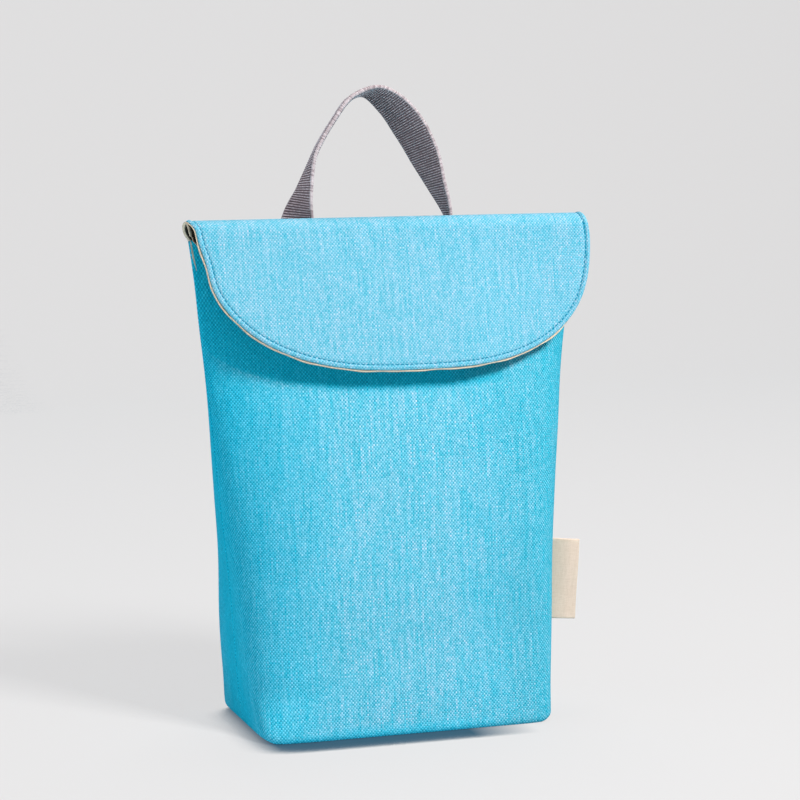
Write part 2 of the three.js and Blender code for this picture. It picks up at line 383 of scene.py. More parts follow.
class NodeMaker:
    """Short words for adding and joining nodes in one tree."""

    COLOUR_INPUTS = (6, 7)
    COLOUR_RESULT = 2

    def __init__(self, tree: Tree) -> None:
        """Starts on a tree."""
        self.tree = tree

    def feed(self, target: Socket, value: object) -> None:
        """Links a socket to an input, or sets the input to a plain value.

        Args:
            target: the input.
            value: the socket or the value.
        """
        if isinstance(value, Socket):
            self.tree.links.new(value, target)
        else:
            target.default_value = value

    def fill(self, node: Node, inputs: dict[str | int, object]) -> None:
        """Feeds several inputs of a node, by name or number."""
        for title, value in inputs.items():
            self.feed(node.inputs[title], value)

    def add(self, kind: str, inputs: dict[str | int, object] | None = None, **settings: object) -> Sockets:
        """Adds a node.

        Args:
            kind: type of the node.
            inputs: what its inputs get, by name or number.
            settings: its properties.

        Returns:
            The node's outputs.
        """
        node = self.tree.nodes.new(kind)
        for name, value in settings.items():
            setattr(node, name, value)
        self.fill(node, inputs or {})
        return node.outputs

    def calc(self, operation: str, *values: object) -> Socket:
        """A Math node's result."""
        return self.add("ShaderNodeMath", dict(enumerate(values)), operation=operation)[0]

    def wave(self, length: object, pitch: object) -> Socket:
        """A sine that turns once for each pitch of a length."""
        return self.calc("SINE", self.calc("MULTIPLY", self.calc("DIVIDE", length, pitch), 2 * math.pi))

    def vector(self, *values: object) -> Socket:
        """A vector from three numbers."""
        return self.add("ShaderNodeCombineXYZ", dict(enumerate(values)))[0]

    def parts(self, vector: Socket) -> Sockets:
        """The numbers X, Y and Z of a vector."""
        return self.add("ShaderNodeSeparateXYZ", {0: vector})

    def blend(self, share: object, low: object, high: object, kind: str = "MIX") -> Socket:
        """A colour between two others."""
        inputs = {"Factor": share} | dict(zip(self.COLOUR_INPUTS, (low, high)))
        return self.add("ShaderNodeMix", inputs, data_type="RGBA", blend_type=kind)[self.COLOUR_RESULT]

    def span(self, value: object, *limits: float) -> Socket:
        """A number moved from one range to another, or else to 0 and 1, and kept inside it."""
        return self.add("ShaderNodeMapRange", dict(enumerate((value, *limits))), clamp=True)[0]

    def noise(self, place: Socket, scale: float, detail: float = 2.0) -> Socket:
        """A noise value."""
        return self.add("ShaderNodeTexNoise", {"Vector": place, "Scale": scale, "Detail": detail})["Fac"]

    def bump(self, height: Socket, distance: float) -> Socket:
        """A normal that follows a height."""
        return self.add("ShaderNodeBump", {"Height": height, "Distance": distance})["Normal"]

    def flat_place(self) -> Socket:
        """The place on the flat cloth."""
        return self.add("ShaderNodeUVMap", uv_map=FLAT_MAP)["UV"]

    def bag_place(self) -> Socket:
        """The place in the bag's own frame."""
        return self.add("ShaderNodeTexCoord")["Object"]

    def painted(self, name: str) -> Socket:
        """A number stored at the points, in a material."""
        return self.add("ShaderNodeAttribute", attribute_name=name)["Fac"]

    def stored(self, name: str, kind: str = "FLOAT") -> Socket:
        """A number or vector stored at the points, in a geometry tree."""
        return self.add("GeometryNodeInputNamedAttribute", {"Name": name}, data_type=kind)["Attribute"]

    def close(self, geometry: Socket, finish: Socket, end: Socket) -> None:
        """Ends a geometry tree with plain meshes in one material.

        Args:
            geometry: what the tree has made.
            finish: the material.
            end: the tree's output.
        """
        real = self.add("GeometryNodeRealizeInstances", {"Geometry": geometry})["Geometry"]
        dressed = self.add("GeometryNodeSetMaterial", {"Geometry": real, "Material": finish})["Geometry"]
        self.feed(end, dressed)


def new_group(
    name: str, kind: TreeKind, inputs: dict[str, SocketKind], outputs: dict[str, SocketKind]
) -> tuple[NodeMaker, Sockets, Sockets]:
    """Starts a node group with named sockets.

    Args:
        name: name of the group.
        kind: shader or geometry.
        inputs: kind of each input.
        outputs: kind of each output.

    Returns:
        The maker for its tree, what comes in, and what goes out.
    """
    tree = bpy.data.node_groups.new(name, kind.value)
    for direction, sockets in (("INPUT", inputs), ("OUTPUT", outputs)):
        for title, socket in sockets.items():
            tree.interface.new_socket(title, in_out=direction, socket_type=socket.value)
    make = NodeMaker(tree)
    return make, make.add("NodeGroupInput"), tree.nodes.new("NodeGroupOutput").inputs


def new_material(name: str) -> tuple[Material, NodeMaker, Node]:
    """Starts a material.

    Args:
        name: name of the material.

    Returns:
        The material, the maker for its tree and its shader.
    """
    material = bpy.data.materials.new(name)
    material.use_nodes = True
    return material, NodeMaker(material.node_tree), material.node_tree.nodes["Principled BSDF"]


def applied(name: str, mesh: bpy.types.Mesh, tree: Tree, values: dict[str, object]) -> Piece:
    """Runs a geometry node tree on a mesh and keeps the plain result.

    Args:
        name: name of the finished piece.
        mesh: mesh to start from.
        tree: the node tree.
        values: value of each named input.

    Returns:
        A new object with a plain mesh and no modifier.
    """
    source = placed(name + "_source", mesh)
    modifier = source.modifiers.new(name, "NODES")
    modifier.node_group = tree
    for item in tree.interface.items_tree:
        if item.name in values:
            modifier[item.identifier] = values[item.name]
    ready = source.evaluated_get(bpy.context.evaluated_depsgraph_get())
    plain = bpy.data.meshes.new_from_object(ready)
    plain.name = name
    bpy.data.objects.remove(source)
    return placed(name, plain)


class ClothEffects:
    """Shader node groups that the finishes share: the crossing yarns and the slow unevenness of cloth."""

    SIZES = ("Warp Pitch", "Weft Pitch", "Warp Slub Length", "Weft Slub Length")
    RESULTS = ("Weft On Top", "Height", "Warp Slub", "Weft Slub", "Fleck")
    YARN_STEP = 7.31
    WEFT_OFFSET = 41.7
    CLOUD_DETAIL = 3.0

    def __init__(self) -> None:
        """Builds each group once."""
        self.weave = self._weave()
        self.unevenness = self._unevenness()

    def _weave(self) -> Tree:
        """Crossing yarns on the flat cloth.

        Returns:
            A group with the yarn that lies on top, its height, and how each yarn varies along its length.
        """
        make, start, end = new_group(
            "crossing_yarns",
            TreeKind.SHADER,
            {"Flat": SocketKind.VECTOR} | dict.fromkeys(self.SIZES, SocketKind.NUMBER),
            dict.fromkeys(self.RESULTS, SocketKind.NUMBER),
        )
        flat = make.parts(start["Flat"])
        warp = make.calc("DIVIDE", flat["X"], start["Warp Pitch"])
        weft = make.calc("DIVIDE", flat["Y"], start["Weft Pitch"])
        warp_yarn, weft_yarn = (make.calc("FLOOR", yarns) for yarns in (warp, weft))
        turns = [make.calc("MULTIPLY", make.calc("FRACT", yarns), math.pi) for yarns in (warp, weft)]
        arches = [make.calc("SINE", turn) for turn in turns]
        make.feed(end["Weft On Top"], make.calc("PINGPONG", make.calc("ADD", warp_yarn, weft_yarn), 1.0))
        make.feed(end["Height"], make.calc("MULTIPLY", *arches))
        runs = {
            "Warp Slub": (warp_yarn, flat["Y"], 0.0),
            "Weft Slub": (weft_yarn, flat["X"], self.WEFT_OFFSET),
        }
        for title, (yarn, length, offset) in runs.items():
            run = make.calc("DIVIDE", length, start[title + " Length"])
            place = make.vector(make.calc("MULTIPLY", yarn, self.YARN_STEP), run, offset)
            make.feed(end[title], make.noise(place, 1.0))
        crossing = {"Vector": make.vector(warp_yarn, weft_yarn, 0.0)}
        fleck = make.add("ShaderNodeTexWhiteNoise", crossing, noise_dimensions="2D")["Value"]
        make.feed(end["Fleck"], fleck)
        return make.tree

    def _unevenness(self) -> Tree:
        """Slow clouds of lighter and darker cloth.

        Returns:
            A group with one value about 0.5.
        """
        make, start, end = new_group(
            "cloth_unevenness",
            TreeKind.SHADER,
            {"Flat": SocketKind.VECTOR, "Across": SocketKind.NUMBER, "Along": SocketKind.NUMBER},
            {"Value": SocketKind.NUMBER},
        )
        scale = make.vector(start["Across"], start["Along"], 0.0)
        place = make.add("ShaderNodeVectorMath", {0: start["Flat"], 1: scale}, operation="MULTIPLY")[0]
        make.feed(end["Value"], make.noise(place, 1.0, self.CLOUD_DETAIL))
        return make.tree


@dataclass(frozen=True, kw_only=True)
class ClothFinish:
    """What every woven finish has: crossing yarns with their relief and a soft sheen.

    Attributes:
        name: name of the material.
        pitches: distances between the upright and between the level yarns.
        slubs: lengths over which an upright and a level yarn change.
        bump: height of the yarns.
        roughness: from the top of a yarn to the gap.
        sheen: strength of the soft rim of loose fibres.
        sheen_roughness: how soft the sheen is.
        specular: strength of the gloss.
    """

    name: str
    pitches: Span
    slubs: Span
    bump: float
    roughness: Span
    sheen: float = 0.1
    sheen_roughness: float = 0.5
    specular: float = 0.05

    def woven(self, effects: ClothEffects) -> tuple[Material, NodeMaker, Node, Sockets]:
        """Starts the material with everything but its colour.

        Args:
            effects: the shared node groups.

        Returns:
            The material, the maker of its nodes, its shader and what the crossing yarns give.
        """
        material, make, shader = new_material(self.name)
        sizes = dict(zip(effects.SIZES, self.pitches + self.slubs))
        weave = make.add("ShaderNodeGroup", {"Flat": make.flat_place()} | sizes, node_tree=effects.weave)
        on_yarn, in_gap = self.roughness
        surface = {
            "Roughness": make.span(weave["Height"], 0.0, 1.0, in_gap, on_yarn),
            "Normal": make.bump(weave["Height"], self.bump),
            "Sheen Weight": self.sheen,
            "Sheen Roughness": self.sheen_roughness,
            "Specular IOR Level": self.specular,
        }
        make.fill(shader, surface)
        return material, make, shader, weave


@dataclass(frozen=True, kw_only=True)
class WovenFinish(ClothFinish):
    """A woven cloth of two yarn colours.

    Attributes:
        warp: colours of the upright yarns where they are thin and thick.
        weft: colours of the level yarns where they are thin and thick.
        crossing: how far the yarn on top decides the colour, the rest is left to chance.
        clouds: how much the slow unevenness darkens and lightens.
        gap: brightness of the gaps between yarns.
        streaks: how far red, green and blue rise and fall along the upright yarns.
        shade_across: distances from the cloth's middle where painted shade, a deeper and less red colour,
            begins and is full.
        shade_below: height above the base edge below which shade is painted too.
        shade_at_base: how strong that painted shade is at the base edge.
        shade_tint: what the painted shade keeps of the colour.
        shade_tint_right: what the painted shade keeps on the right side instead, where it differs.
        right_from: place across the bag where that begins and where it is full.
        between: dark colour painted on the faces between two plies, where there is one, as shade in the gap.
        thin_to_thick: slub values where a yarn is thin and where it is thick.
        dark_to_light: noise values where streaks and clouds are darkest and lightest.
        cloud_scales: clouds in a metre, across and along.
        yarn_crown: height at which a yarn has its full brightness.
    """

    warp: tuple[Colour, Colour]
    weft: tuple[Colour, Colour]
    crossing: float
    clouds: float
    gap: float
    streaks: tuple[float, float, float] = (0.0, 0.0, 0.0)
    shade_across: Span | None = None
    shade_below: float = 0.009
    shade_at_base: float = 0.9
    shade_tint: Colour = (0.06, 0.95, 1.03, 1)
    shade_tint_right: Colour | None = None
    right_from: Span = (0.03, 0.07)
    between: Colour | None = None
    thin_to_thick: Span = (0.32, 0.68)
    dark_to_light: Span = (0.3, 0.7)
    cloud_scales: Span = (60.0, 14.0)
    yarn_crown: float = 0.7

    def material(self, effects: ClothEffects) -> Material:
        """Builds the material.

        Args:
            effects: the shared node groups.

        Returns:
            The new material.
        """
        material, make, shader, weave = self.woven(effects)
        place = make.flat_place()
        across, along = self.cloud_scales
        sizes = {"Flat": place, "Across": across, "Along": along}
        clouds = make.add("ShaderNodeGroup", sizes, node_tree=effects.unevenness)
        cloth = self._heather(make, weave, clouds["Value"])
        if self.shade_across is not None:
            cloth = self._painted_shade(make, place, cloth)
        if self.between is not None:
            # The faces between the plies take a dark painted shade.
            cloth = make.blend(make.painted(PLY_GAP_SHADE), cloth, self.between)
        make.feed(shader.inputs["Base Color"], cloth)
        return material

    def _heather(self, make: NodeMaker, weave: Sockets, unevenness: Socket) -> Socket:
        """Mixes the colours of the two yarns.

        Args:
            make: maker of the material's nodes.
            weave: what the crossing yarns give.
            unevenness: slow clouds.

        Returns:
            The colour of the cloth.
        """
        warp = make.blend(make.span(weave["Warp Slub"], *self.thin_to_thick), *self.warp)
        weft = make.blend(make.span(weave["Weft Slub"], *self.thin_to_thick), *self.weft)
        ordered = make.calc("MULTIPLY", weave["Weft On Top"], self.crossing)
        on_top = make.calc("MULTIPLY_ADD", weave["Fleck"], 1.0 - self.crossing, ordered)
        crown = make.span(weave["Height"], 0.0, self.yarn_crown, self.gap, 1.0)
        cloud = make.span(unevenness, *self.dark_to_light, 1.0 - self.clouds, 1.0 + self.clouds)
        shade = make.calc("MULTIPLY", crown, cloud)
        cloth = make.blend(1.0, make.blend(on_top, warp, weft), make.vector(shade, shade, shade), "MULTIPLY")
        limits = [(*self.dark_to_light, 1.0 - streak, 1.0 + streak) for streak in self.streaks]
        streaks = make.vector(*(make.span(weave["Warp Slub"], *span) for span in limits))
        return make.blend(1.0, cloth, streaks, "MULTIPLY")

    def _painted_shade(self, make: NodeMaker, place: Socket, cloth: Socket) -> Socket:
        """Paints shade into the colour: deeper, less red cloth towards the sides, at the base edge and in the
        flap's painted shadow.

        Args:
            make: maker of the material's nodes.
            place: place on the flat cloth.
            cloth: colour of the cloth.

        Returns:
            The deepened colour.
        """
        flat = make.parts(place)
        sides = make.span(make.calc("ABSOLUTE", flat["X"]), *self.shade_across)
        base = make.span(flat["Y"], 0.0, self.shade_below, self.shade_at_base, 0.0)
        deep = make.calc("MAXIMUM", make.calc("MAXIMUM", sides, base), make.painted(LIP_SHADOW))
        tint = self.shade_tint
        if self.shade_tint_right is not None:
            across = make.parts(make.bag_place())["X"]
            tint = make.blend(make.span(across, *self.right_from), self.shade_tint, self.shade_tint_right)
        return make.blend(1.0, cloth, make.blend(deep, WHITE, tint), "MULTIPLY")


@dataclass(frozen=True)
class ThreadFinish:
    """Sewing thread, a twisted strand.

    Attributes:
        name: name of the material.
        dark: colour of the strand's hollows.
        light: colour of its crowns.
        twist_scale: changes in a metre.
        twist_detail: how fine they are.
        twist_span: values where the strand is smooth and where it is rough.
        roughness: roughness at those two.
        specular: strength of the gloss.
    """

    name: str
    dark: Colour
    light: Colour
    twist_scale: float = 2600.0
    twist_detail: float = 1.0
    twist_span: Span = (0.3, 0.7)
    roughness: Span = (0.5, 0.8)
    specular: float = 0.1

    def material(self) -> Material:
        """Builds the material.

        Returns:
            The new material.
        """
        material, make, shader = new_material(self.name)
        strand = make.noise(make.bag_place(), self.twist_scale, self.twist_detail)
        surface = {
            "Base Color": make.blend(strand, self.dark, self.light),
            "Roughness": make.span(strand, *self.twist_span, *self.roughness),
            "Specular IOR Level": self.specular,
        }
        make.fill(shader, surface)
        return material


@dataclass(frozen=True, kw_only=True)
class WebbingFinish(ClothFinish):
    """Ribbed webbing with pale selvedges, two level yarns to a rib.

    Attributes:
        hollow: colour between the ribs.
        rib: colours of the ribs' yarns, dark and pale.
        selvedge: colours of the woven edge, dark and pale.
        half_width: half of the webbing's width.
        selvedge_width: width of the woven edge.
        selvedge_blend: how far the edge blends into the ribs, both ways.
        crest: parts of a rib's wave where its colour begins and is full.
        fleck: chances at which a yarn is dark and where it is pale.
    """

    hollow: Colour
    rib: tuple[Colour, Colour]
    selvedge: tuple[Colour, Colour]
    half_width: float
    selvedge_width: float
    selvedge_blend: float = 0.0003
    crest: Span = (-0.3, 0.95)
    fleck: Span = (0.1, 0.9)

    def material(self, effects: ClothEffects) -> Material:
        """Builds the material.

        Args:
            effects: the shared node groups.

        Returns:
            The new material.
        """
        material, make, shader, weave = self.woven(effects)
        flat = make.parts(make.flat_place())
        chance = make.span(weave["Fleck"], *self.fleck)
        crest = make.span(make.wave(flat["Y"], 2 * self.pitches[1]), *self.crest)
        ribs = make.blend(crest, self.hollow, make.blend(chance, *self.rib))
        edge = self.half_width - self.selvedge_width
        limits = (edge - self.selvedge_blend, edge + self.selvedge_blend)
        at_edge = make.span(make.calc("ABSOLUTE", flat["X"]), *limits)
        cloth = make.blend(at_edge, ribs, make.blend(chance, *self.selvedge))
        make.feed(shader.inputs["Base Color"], cloth)
        return material


# Painted shade: deeper, less red cloth towards both sides and at the base edge, milder on the right, and the
# flap's shadow painted below the lip.
POUCH_CLOTH = WovenFinish(
    name="pouch_heather",
    warp=((0.0, 0.295, 0.425, 1), (0.02, 0.35, 0.48, 1)),
    weft=((0.15, 0.56, 0.725, 1), (0.405, 0.66, 0.815, 1)),
    pitches=(0.001, 0.00112),
    slubs=(0.03, 0.002),
    crossing=0.66,
    clouds=0.015,
    gap=0.9,
    bump=0.0002,
    roughness=(0.7, 0.9),
    sheen=0.01,
    streaks=(0.5, 0.03, 0.02),
    shade_across=(0.03, 0.12),
    shade_tint_right=(0.31, 0.8, 0.82, 1),
)
FLAP_CLOTH = replace(
    POUCH_CLOTH,
    name="flap_heather",
    warp=((0.025, 0.335, 0.475, 1), (0.08, 0.385, 0.525, 1)),
    weft=((0.165, 0.475, 0.605, 1), (0.39, 0.555, 0.675, 1)),
    gap=0.93,
    streaks=(0.28, 0.03, 0.02),
    shade_across=None,
    shade_tint_right=None,
)
# A dark colour between the plies stands for the shade in the gap at the ends of the fold.
LINING_CLOTH = WovenFinish(
    name="lining_cream",
    warp=((0.70, 0.53, 0.37, 1), (0.86, 0.70, 0.54, 1)),
    weft=((0.74, 0.57, 0.42, 1), (0.90, 0.75, 0.60, 1)),
    pitches=(0.0004, 0.0004),
    slubs=(0.006, 0.004),
    crossing=0.8,
    clouds=0.05,
    gap=0.8,
    bump=0.00012,
    roughness=(0.8, 0.95),
    between=(0.035, 0.03, 0.022, 1),
)
# Painted shade: darker, greener tape on its front face near the root at the seam.
TAG_TAPE = WovenFinish(
    name="tag_tape_cream",
    warp=((0.68, 0.50, 0.38, 1), (0.80, 0.61, 0.50, 1)),
    weft=((0.70, 0.53, 0.42, 1), (0.82, 0.65, 0.54, 1)),
    pitches=(0.0005, 0.00035),
    slubs=(0.008, 0.004),
    crossing=0.8,
    clouds=0.03,
    gap=0.86,
    bump=0.0001,
    roughness=(0.55, 0.75),
    shade_across=(0.024, 0.0),
    shade_tint=(0.52, 0.66, 0.65, 1),
)
WEBBING_CLOTH = WebbingFinish(
    name="webbing_grey",
    hollow=(0.19, 0.122, 0.132, 1),
    rib=((0.62, 0.46, 0.48, 1), (0.98, 0.79, 0.81, 1)),
    selvedge=((0.28, 0.22, 0.235, 1), (0.53, 0.45, 0.465, 1)),
    half_width=0.0125,
    selvedge_width=0.0006,
    pitches=(0.0009, 0.00075),
    slubs=(0.004, 0.003),
    bump=0.0003,
    roughness=(0.7, 0.92),
    specular=0.3,
)
BLUE_THREAD = ThreadFinish("thread_teal", (0.0, 0.14, 0.245, 1), (0.0, 0.25, 0.39, 1))
GREY_THREAD = ThreadFinish("thread_grey", (0.16, 0.15, 0.16, 1), (0.34, 0.32, 0.34, 1))


class Stitching:
    """Rows of stitches that follow a path, made by one node tree with named sizes."""

    AWAY = "away"
    SEED = 7
    UNEVEN = (0.88, 1.06)
    STRAND = {"Segments": 8, "Rings": 6, "Radius": 0.5}
    RANDOM_LIMITS = (2, 3)
    RANDOM_NUMBER = 1

    def __init__(self) -> None:
        """Builds the node tree once."""
        self.tree = self._tree()

    def _tree(self) -> Tree:
        """Builds the tree that sets one stitch after another along a path.

        Returns:
            The geometry node tree.
        """
        sizes = dict.fromkeys(("Pitch", "Length", "Width", "Height"), SocketKind.NUMBER)
        make, start, end = new_group(
            "stitch_row",
            TreeKind.GEOMETRY,
            {"Path": SocketKind.GEOMETRY, **sizes, "Seed": SocketKind.WHOLE, "Thread": SocketKind.MATERIAL},
            {"Stitches": SocketKind.GEOMETRY},
        )
        curve = make.add("GeometryNodeMeshToCurve", {"Mesh": start["Path"]})["Curve"]
        spacing = {"Curve": curve, "Length": start["Pitch"]}
        spaced = make.add("GeometryNodeResampleCurve", spacing, mode="LENGTH")["Curve"]
        away = {"Vector": make.stored(self.AWAY, "FLOAT_VECTOR")}
        upright = make.add("FunctionNodeAlignRotationToVector", away, axis="Z")["Rotation"]
        ahead = {"Rotation": upright, "Vector": make.add("GeometryNodeInputTangent")["Tangent"]}
        turned = make.add("FunctionNodeAlignRotationToVector", ahead, axis="X", pivot_axis="Z")["Rotation"]
        strand = make.add("GeometryNodeMeshUVSphere", self.STRAND)["Mesh"]
        smooth = make.add("GeometryNodeSetShadeSmooth", {"Geometry": strand})["Geometry"]
        limits = dict(zip(self.RANDOM_LIMITS, self.UNEVEN)) | {"Seed": start["Seed"]}
        uneven = make.add("FunctionNodeRandomValue", limits, data_type="FLOAT")[self.RANDOM_NUMBER]
        long = make.calc("MULTIPLY", start["Length"], uneven)
        stitch = {
            "Points": spaced,
            "Instance": smooth,
            "Rotation": turned,
            "Scale": make.vector(long, start["Width"], start["Height"]),
        }
        row = make.add("GeometryNodeInstanceOnPoints", stitch)["Instances"]
        make.close(row, start["Thread"], end["Stitches"])
        return make.tree

    def rows(self, name: str, paths: Paths, sizes: dict[str, float], thread: Material) -> Piece:
        """Sews rows of stitches.

        Args:
            name: name of the piece.
            paths: for each row its points in millimetres and the surface's unit normals there.
            sizes: Pitch, Length, Width and Height of a stitch in millimetres.
            thread: material of the thread.

        Returns:
            One plain mesh object with all the stitches.
        """
        points = np.vstack([path for path, _ in paths]) * MM
        normals = np.vstack([away for _, away in paths])
        edges = []
        first = 0
        for path, _ in paths:
            edges += [(k, k + 1) for k in range(first, first + len(path) - 1)]
            first += len(path)
        mesh = bpy.data.meshes.new(name + "_path")
        mesh.from_pydata(points.tolist(), edges, [])
        away = mesh.attributes.new(self.AWAY, "FLOAT_VECTOR", "POINT")
        away.data.foreach_set("vector", normals.astype(np.float32).ravel())
        values = {title: size * MM for title, size in sizes.items()}
        return applied(name, mesh, self.tree, values | {"Seed": self.SEED, "Thread": thread})


@dataclass
class Pouch:
    """The pouch: two panels that meet up the middle of each side and along the middle of the base.

    Attributes:
        mouth_height: height of the mouth in its middle.
        cloth: thickness of the cloth.
        base_roll: height of the rounded edge of the base.
        base_tuck: how far that edge runs in under the pouch.
        base_mitre: how much of its width the base keeps at its seam.
        side_lifts: how far the left and right edge of the base stand off the floor.
        lift_fades: height at which that lift has gone.
        lift_across: distances of that lift from the middle.
        lift_under: shares of its way from the base seam to the edge.
        seam_roll: radius of the turned edge at the side seam.
        seam_gap: distance between the panels at their seams.
        seam_steps: distances of the closest points from the side seam.
        sections: height, half width, half depth, flatness of the front, fullness of the side and the wall
            at the side seam, from the base edge to the mouth.
        soft_corner: height, flatness and fullness of the front's left corner, which has slumped a little.
        dents: for each panel, place round the girth from its middle, height, depth inwards, and reach
            both ways.
        dents_from: heights of the dents' and the ridge's beginning.
        ridge: slope of the ridge that the cloth makes along the side seam.
        ridge_across: its beginning, as shares of the half width.
        ridge_foot: share of the half depth where it meets the side.
        ridge_from: heights of its own beginning.
        ridge_fades: heights over which it fades.
        end_rise: how far the mouth rises into each end of the fold.
        rise_below: height below the mouth where that rise begins.
        rise_across: its distances from the middle.
        rise_thins: how much thinner the mouth gets there, as a share.
        columns: faces round a panel.
        rows: rows of points up a panel.
        roll_rows: rows round the edge of the base.
        base_rows: rows from that edge to the base seam.
        line_points: points worked out for each half of a level line.
        rim_bulge: how far the middle of the cloth's rim stands out.
        panel_cut: flat width and length of a panel, in metres; not used.
    """

    mouth_height: float = 282.0
    cloth: float = 2.0
    base_roll: float = 3.6
    base_tuck: float = 2.2
    base_mitre: float = 0.9
    side_lifts: dict[End, float] = ends(2.4, 2.0)
    lift_fades: float = 40.0
    lift_across: Span = (83.0, 91.5)
    lift_under: Span = (0.4, 1.0)
    seam_roll: float = 1.3
    seam_gap: float = 0.06
    seam_steps: tuple[float, ...] = (0.0, 0.35, 0.75, 1.2, 1.7, 2.3)
    sections: Array = table(
        (4, 91.8, 50.5, 15, 15, 2.0),
        (40, 94.5, 46, 14, 12, 2.0),
        (90, 98.5, 43, 8, 6, 2.0),
        (140, 104, 37.5, 5.2, 3.6, 2.1),
        (190, 109.5, 30, 4, 2.4, 2.5),
        (230, 114.5, 21, 3.2, 1.8, 3.2),
        (260, 118.9, 13, 2.6, 1.5, 4.2),
        (282, 122.5, 8.5, 3, 2.1, 3.6),
    )
    soft_corner: Array = table(
        (4, 12, 11),
        (20, 5.8, 5.2),
        (40, 4.4, 3.8),
        (90, 3.3, 2.6),
        (140, 3, 2.1),
        (190, 2.7, 1.7),
        (230, 2.5, 1.5),
        (260, 2.4, 1.4),
        (282, 3, 2.1),
    )
    dents: dict[Half, tuple] = field(
        default_factory=lambda: {
            Half.FRONT: (
                (58, 70, 1.6, 26, 34),
                (20, 130, 0.9, 40, 50),
                (-42, 60, -1.0, 34, 40),
                (-58, 150, -0.8, 26, 60),
                (70, 150, -0.7, 22, 50),
                (-6, 28, -0.8, 60, 18),
                (38, 190, 0.7, 30, 30),
                (98, 185, -1.6, 18, 34),
            ),
            Half.BACK: (
                (98, 60, -1.8, 20, 48),
                (102, 165, -1.2, 20, 50),
                (40, 80, 1.2, 30, 34),
                (-20, 120, 0.9, 40, 46),
                (-55, 60, -1.0, 26, 40),
                (0, 170, -0.8, 50, 40),
            ),
        }
    )
    dents_from: Span = (1.0, 12.0)
    ridge: float = 0.035
    ridge_across: Span = (0.8, 0.97)
    ridge_foot: float = 0.5
    ridge_from: Span = (0.0, 30.0)
    ridge_fades: Span = (120.0, 200.0)
    end_rise: float = 12.0
    rise_below: float = 40.0
    rise_across: Span = (80.0, 118.0)
    rise_thins: float = 0.2
    columns: int = 170
    rows: int = 150
    roll_rows: int = 7
    base_rows: int = 8
    line_points: int = 260
    rim_bulge: float = 0.5
    panel_cut: Span = (0.295, 0.335)

    def section(self, z: Array) -> Array:
        """Rows of the section table at heights, without the height."""
        keys = self.sections[:, 0]
        return smooth_rows(keys, self.sections[:, 1:], np.clip(z, keys[0], keys[-1]))

    def depth(self, x: Array, z: Array) -> Array:
        """How far back the pouch reaches.

        Args:
            x: places across it.
            z: heights.

        Returns:
            Y of its back at each place.
        """
        half_width, half_depth, flat, full, _ = self.section(z).T
        share = np.minimum(np.abs(x) / half_width, 1)
        return half_depth * (1 - share**flat) ** (1 / full)

    def raise_ends(self, points: Array) -> Array:
        """Draws the mouth up into both ends of the fold, thinner as it rises.

        Args:
            points: points of the pouch.

        Returns:
            The points where they come to lie.
        """
        x, y, z = np.moveaxis(points, -1, 0)
        near_mouth = smoothstep(z, self.mouth_height - self.rise_below, self.mouth_height)
        share = near_mouth * smoothstep(np.abs(x), *self.rise_across)
        return np.stack([x, y * (1 - self.rise_thins * share), z + self.end_rise * share], axis=-1)

    def _quarter_line(self, size: Span, corner: Span, roll: float) -> Array:
        """One level line of a panel from a seam to the middle of the front.

        Args:
            size: half of the pouch's width and depth there.
            corner: how flat the front runs and how full the side is.
            roll: radius of the turned edge at the seam.

        Returns:
            X and Y of closely set points.
        """
        across, forwards = rounded_quarter(*corner, self.line_points)
        half_width, half_depth = size
        y = half_depth * forwards
        x = half_width * across - turned_edge(y, roll)
        return np.stack([x, -np.maximum(y, self.seam_gap / 2)], axis=1)

    def _level(self, right: Array, left: Array) -> tuple[Array, Array]:
        """Sets the points of one level line, closest at both seams.

        Args:
            right: the line from the right seam to the middle.
            left: the line from the left seam to the middle, as if it were on the right.

        Returns:
            X and Y of each point, and its place round the girth from the middle.
        """
        line = np.vstack([right, left[-2::-1] * (-1, 1)])
        girth = path_length(line)[-1]
        seam = np.array(self.seam_steps)
        main = np.linspace(seam[-1], girth - seam[-1], self.columns + 1)[1:-1]
        places = np.concatenate([seam, main, girth - seam[::-1]])
        return along_path(line, places), path_length(right)[-1] - places

    def _face(self, inside: bool, half: Half) -> tuple[Array, Array]:
        """All rows of one face of a panel in the front's place, from the base seam to the mouth.

        Args:
            inside: true for the face inside the pouch.
            half: front, whose left corner is soft, or back.

        Returns:
            Points and flat places, each as rows and columns.
        """
        wall = self.cloth if inside else 0.0
        roll = 0.0 if inside else self.seam_roll
        turn = np.linspace(0, math.pi / 2, self.roll_rows + 1)[:-1]
        rolled = wall + (self.base_roll - wall) * (1 - np.cos(turn))
        heights = np.concatenate([rolled, np.linspace(self.base_roll, self.mouth_height, self.rows)])
        insets = np.concatenate([(self.base_tuck - wall) * (1 - np.sin(turn)), np.zeros(self.rows)])
        corner_keys = self.soft_corner[:, 0]
        soft = smooth_rows(corner_keys, self.soft_corner[:, 1:], np.maximum(heights, corner_keys[0]))
        points = []
        flat = []
        for z, inset, row, soft_row in zip(heights, insets, self.section(heights), soft):
            half_width, half_depth, flatness, full, tip_wall = row
            tip = inset + (tip_wall if inside and z >= self.base_roll else wall)
            size = (half_width - tip, half_depth - inset - wall)
            right_corner = (flatness, full)
            left_corner = soft_row if half is Half.FRONT else right_corner
            right, left = (self._quarter_line(size, corner, roll) for corner in (right_corner, left_corner))
            level, around = self._level(right, left)
            upright = np.full(len(level), z)
            points.append(np.column_stack([level, upright]))
            flat.append(np.column_stack([around, upright]))
        first = points[0]
        seam = first * (self.base_mitre, 0, 1) + (0, -self.seam_gap / 2, 0)
        shares = np.linspace(0, 1, self.base_rows + 1)[:-1]
        under = [seam + (first - seam) * share for share in shares]
        under_flat = [flat[0] + (0, -(1 - share) * self.sections[0, 2]) for share in shares]
        face = np.array(under + points)
